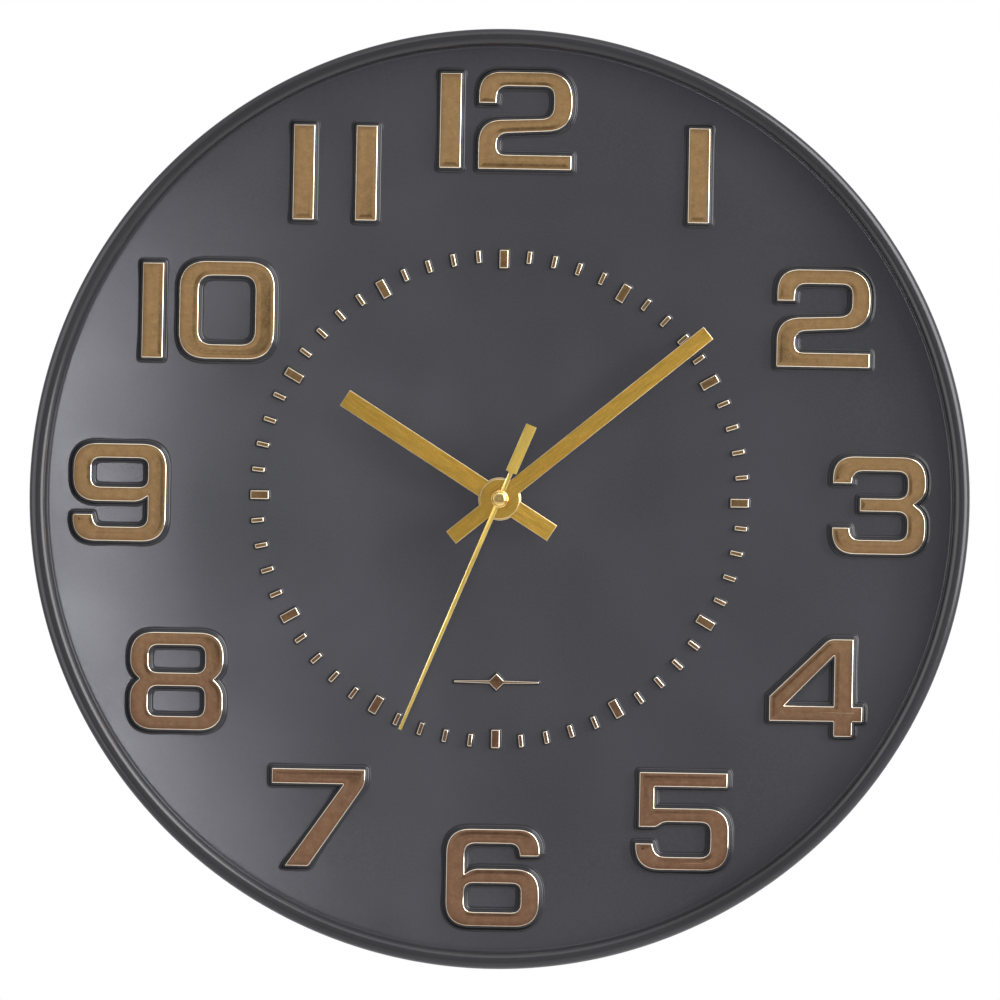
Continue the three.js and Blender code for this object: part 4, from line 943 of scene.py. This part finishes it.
# ---- Battery ----

CAN_SIDES = 96
CAN_ROUND = 0.7 * MM
DISC_R = 3.4 * MM          # the negative end's sunk disc, and the slope round it
DISC_SINK = 0.25 * MM
DISC_SLOPE = 0.3 * MM
NUB_R = 2.6 * MM
# The positive nub as (distance out from NUB_R, height over the shoulder) in mm, up to its rounded top.
NUB_FOOT = [(0.5, 0), (0.1, 0.15), (0, 0.4)]
# The sleeve's end as (distance in from its full radius, distance along) in mm.
SLEEVE_END = [(0.25, 0), (0.05, 0.25), (0, 0.7)]

cell_low, cell_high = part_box("battery_cell")
sleeve_low, sleeve_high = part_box("battery_sleeve")
cell_axis = Vector((0, middle("battery_cell").y, middle("battery_cell").z))
cell_r = (cell_high.z - cell_low.z) / 2
shoulder = cell_high.x - 1.2 * MM
round_r = cell_r - CAN_ROUND
can = [(0, cell_low.x + DISC_SINK), (DISC_R, cell_low.x + DISC_SINK), (DISC_R + DISC_SLOPE, cell_low.x)]
can += arc((round_r, cell_low.x + CAN_ROUND), CAN_ROUND, -90, 0, 6)
can += arc((round_r, shoulder - CAN_ROUND), CAN_ROUND, 0, 90, 6)
can += [(NUB_R + out * MM, shoulder + up * MM) for out, up in NUB_FOOT]
can += [(NUB_R - 0.05 * MM, cell_high.x - 0.25 * MM), (NUB_R - 0.3 * MM, cell_high.x), (0, cell_high.x)]
battery = bmesh.new()
lathe(battery, can, CAN_SIDES, "X", cell_axis)
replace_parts(new_piece("battery_can", battery, "cell_steel", "battery_body"), "battery_cell")

sleeve_r = (sleeve_high.z - sleeve_low.z) / 2
wrap = [(cell_r - 0.2 * MM, sleeve_low.x - 0.05 * MM)]
wrap += [(sleeve_r - inward * MM, sleeve_low.x + along * MM) for inward, along in SLEEVE_END]
wrap += [(radius, sleeve_low.x + sleeve_high.x - x) for radius, x in wrap[::-1]]
sleeve_mesh = bmesh.new()
lathe(sleeve_mesh, wrap, CAN_SIDES, "X", cell_axis)
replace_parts(new_piece("battery_wrap", sleeve_mesh, "cell_sleeve", "battery_body"), "battery_sleeve")


# ---- Carried-over CAD parts: fine edges and their own finishes ----

slot_of = {part["node"]: part["material_slot"] for part in frame["record"]["subparts"]}
EDGES = {
    "movement_housing": 0.35, "movement_cover": 0.3, "setting_knob": 0.18, "hex_nut": 0.12, "flat_washer": 0.08,
    "rubber_washer": 0.15, "threaded_bush": 0.12, "train_bridge": 0.1, "circuit_board": 0.08, "stator": 0.08,
    "coil_core": 0.08, "contact_positive": 0.05, "contact_negative": 0.05,
}
for name, part in frame["nodes"].items():
    part.data.materials.clear()
    part.data.materials.append(MATERIALS[slot_of[name]])
    if name in EDGES:
        edge = part.modifiers.new("edge", "BEVEL")
        edge.width = EDGES[name] * MM
        edge.segments = 2
        edge.limit_method = "ANGLE"
        edge.angle_limit = math.radians(35)
        edge.use_clamp_overlap = True


# ---- Stage ----

FLOOR_DROP = 1.5
floor_mesh = bmesh.new()
bmesh.ops.create_grid(floor_mesh, x_segments=8, y_segments=8, size=3.5)
floor_data = bpy.data.meshes.new("floor")
floor_mesh.to_mesh(floor_data)
floor_mesh.free()
floor_data.materials.append(floor_paint())
floor = bpy.data.objects.new("floor", floor_data)
floor.location = (0, 0, AXIS_Z - FLOOR_DROP)
bpy.context.scene.collection.objects.link(floor)


# ---- Lights ----

SHINY = ("bronze_foil", "hand_metal", "second_metal", "boss_brass", "nut_brass")


def softbox(name, at, size, power, tint=(1, 1, 1)):
    """A soft area light that faces the middle of the dial."""
    data = bpy.data.lights.new(name, "AREA")
    data.shape = "RECTANGLE"
    data.size, data.size_y = size
    data.energy = power
    data.color = tint
    lamp = bpy.data.objects.new(name, data)
    bpy.context.scene.collection.objects.link(lamp)
    lamp.location = AXIS + Vector(at)
    lamp.rotation_euler = (-Vector(at)).to_track_quat("-Z", "Y").to_euler()
    return lamp


def lights_only(lamp, name, pieces, blocks=False):
    """Keeps a lamp's light, and its shadows if asked, to these pieces."""
    group = bpy.data.collections.new(name)
    for lit in pieces:
        group.objects.link(lit)
    lamp.light_linking.receiver_collection = group
    if blocks:
        lamp.light_linking.blocker_collection = group


# The key is weaker on the foil, which would mirror it as plain white.
meshes = [o for o in bpy.context.scene.objects if o.type == "MESH"]
foils = [o for o in meshes if o.data.materials[0].name == "bronze_foil"]
shiny = [o for o in meshes if o.data.materials[0].name in SHINY]
KEY_AT = (1.25, -0.75, 0.55)
KEY_SIZE = (1.1, 1.9)
key = softbox("key_right", KEY_AT, KEY_SIZE, 36)
lights_only(key, "all_but_foil", [o for o in meshes if o not in foils])
lights_only(softbox("foil_right", KEY_AT, KEY_SIZE, 8), "foils", foils)
lights_only(softbox("glint_left", (-1.3, -0.9, 0.3), (0.8, 1.1), 20), "foil_and_hands", shiny)
lights_only(softbox("rim_left", (-1.3, -0.9, 0.1), (1.3, 2.0), 12), "rim", [rim_piece])
softbox("top", (0.1, -1.0, 1.5), (1.3, 0.7), 3)
behind_light = softbox("behind", (0.6, 1.6, 0.9), (1.4, 1.2), 60)
behind_light.visible_glossy = False

# A narrow panel low on the left shows only in the satin dial, where it turns away near the rim.
COOL = (0.92, 0.92, 1.0)
panel = softbox("panel_left", (-0.50, -2.2, -0.38), (0.24, 1.3), 10.5, COOL)
lights_only(panel, "satin_dial", [dial_piece], blocks=True)
# A fill from the same side that is never mirrored keeps the dial's tone alike from every side.
fill = softbox("fill_left", (-0.90, -2.2, -0.54), (1.0, 1.4), 62, COOL)
fill.visible_glossy = False
lights_only(fill, "dial_fill", [dial_piece], blocks=True)

# A low spot from the right draws the relief's shadows to the left and lights the dial's lower left most.
spot_data = bpy.data.lights.new("low_spot", "SPOT")
spot_data.energy = 70
spot_data.color = (0.96, 0.95, 1.0)
spot_data.shadow_soft_size = 0.09
spot_data.spot_size = math.radians(24)
spot_data.spot_blend = 1.0
spot = bpy.data.objects.new("low_spot", spot_data)
bpy.context.scene.collection.objects.link(spot)
spot.location = AXIS + Vector((1.15, -0.40, 0.32))
spot.rotation_euler = (AXIS + Vector((-0.40, 0, -0.20)) - spot.location).to_track_quat("-Z", "Y").to_euler()
spot.visible_glossy = False

world = bpy.data.worlds.new("studio")
world.use_nodes = True
tree = world.node_tree
tree.nodes.clear()
seen = node(tree, "Background", Color=(1, 1, 1, 1), Strength=1.0)
toward = node(tree, "SeparateXYZ", Vector=tree.nodes.new("ShaderNodeTexCoord").outputs["Generated"])
off_axis = node(tree, "CombineXYZ", X=toward.outputs["X"], Z=toward.outputs["Z"]).outputs["Vector"]
aside = node(tree, "VectorMath", {"operation": "LENGTH"})
tree.links.new(off_axis, aside.inputs[0])
# The camera and whoever holds it are a dark patch in front of the dial, with pale walls round them.
# Each stop is the sine of the angle off the dial's axis, and the tone there.
room = [
    (0.045, (0.17, 0.17, 0.18)), (0.10, (0.52, 0.52, 0.54)), (0.35, (0.29, 0.29, 0.32)), (0.75, (0.44, 0.44, 0.47)),
    (0.98, (1.0, 1.0, 1.05)),
]
surround = ramp(tree, aside.outputs["Value"], room)
surround = mixed(tree, spread(tree, toward.outputs["Y"], 0, 1, 0, 0.2), surround, (0.55, 0.55, 0.58))
low_side = spread(tree, toward.outputs["Z"], 0.45, 1.0, -0.5, 0.1)
surround = mixed(tree, low_side, (0.30, 0.27, 0.26), surround)
ambient = node(tree, "Background", Color=surround, Strength=1.0)
blend = node(tree, "MixShader", Fac=node(tree, "LightPath").outputs["Is Camera Ray"])
tree.links.new(ambient.outputs["Background"], blend.inputs[1])
tree.links.new(seen.outputs["Background"], blend.inputs[2])
tree.links.new(blend.outputs["Shader"], node(tree, "OutputWorld").inputs["Surface"])
bpy.context.scene.world = world
bpy.context.scene.view_settings.view_transform = "Standard"
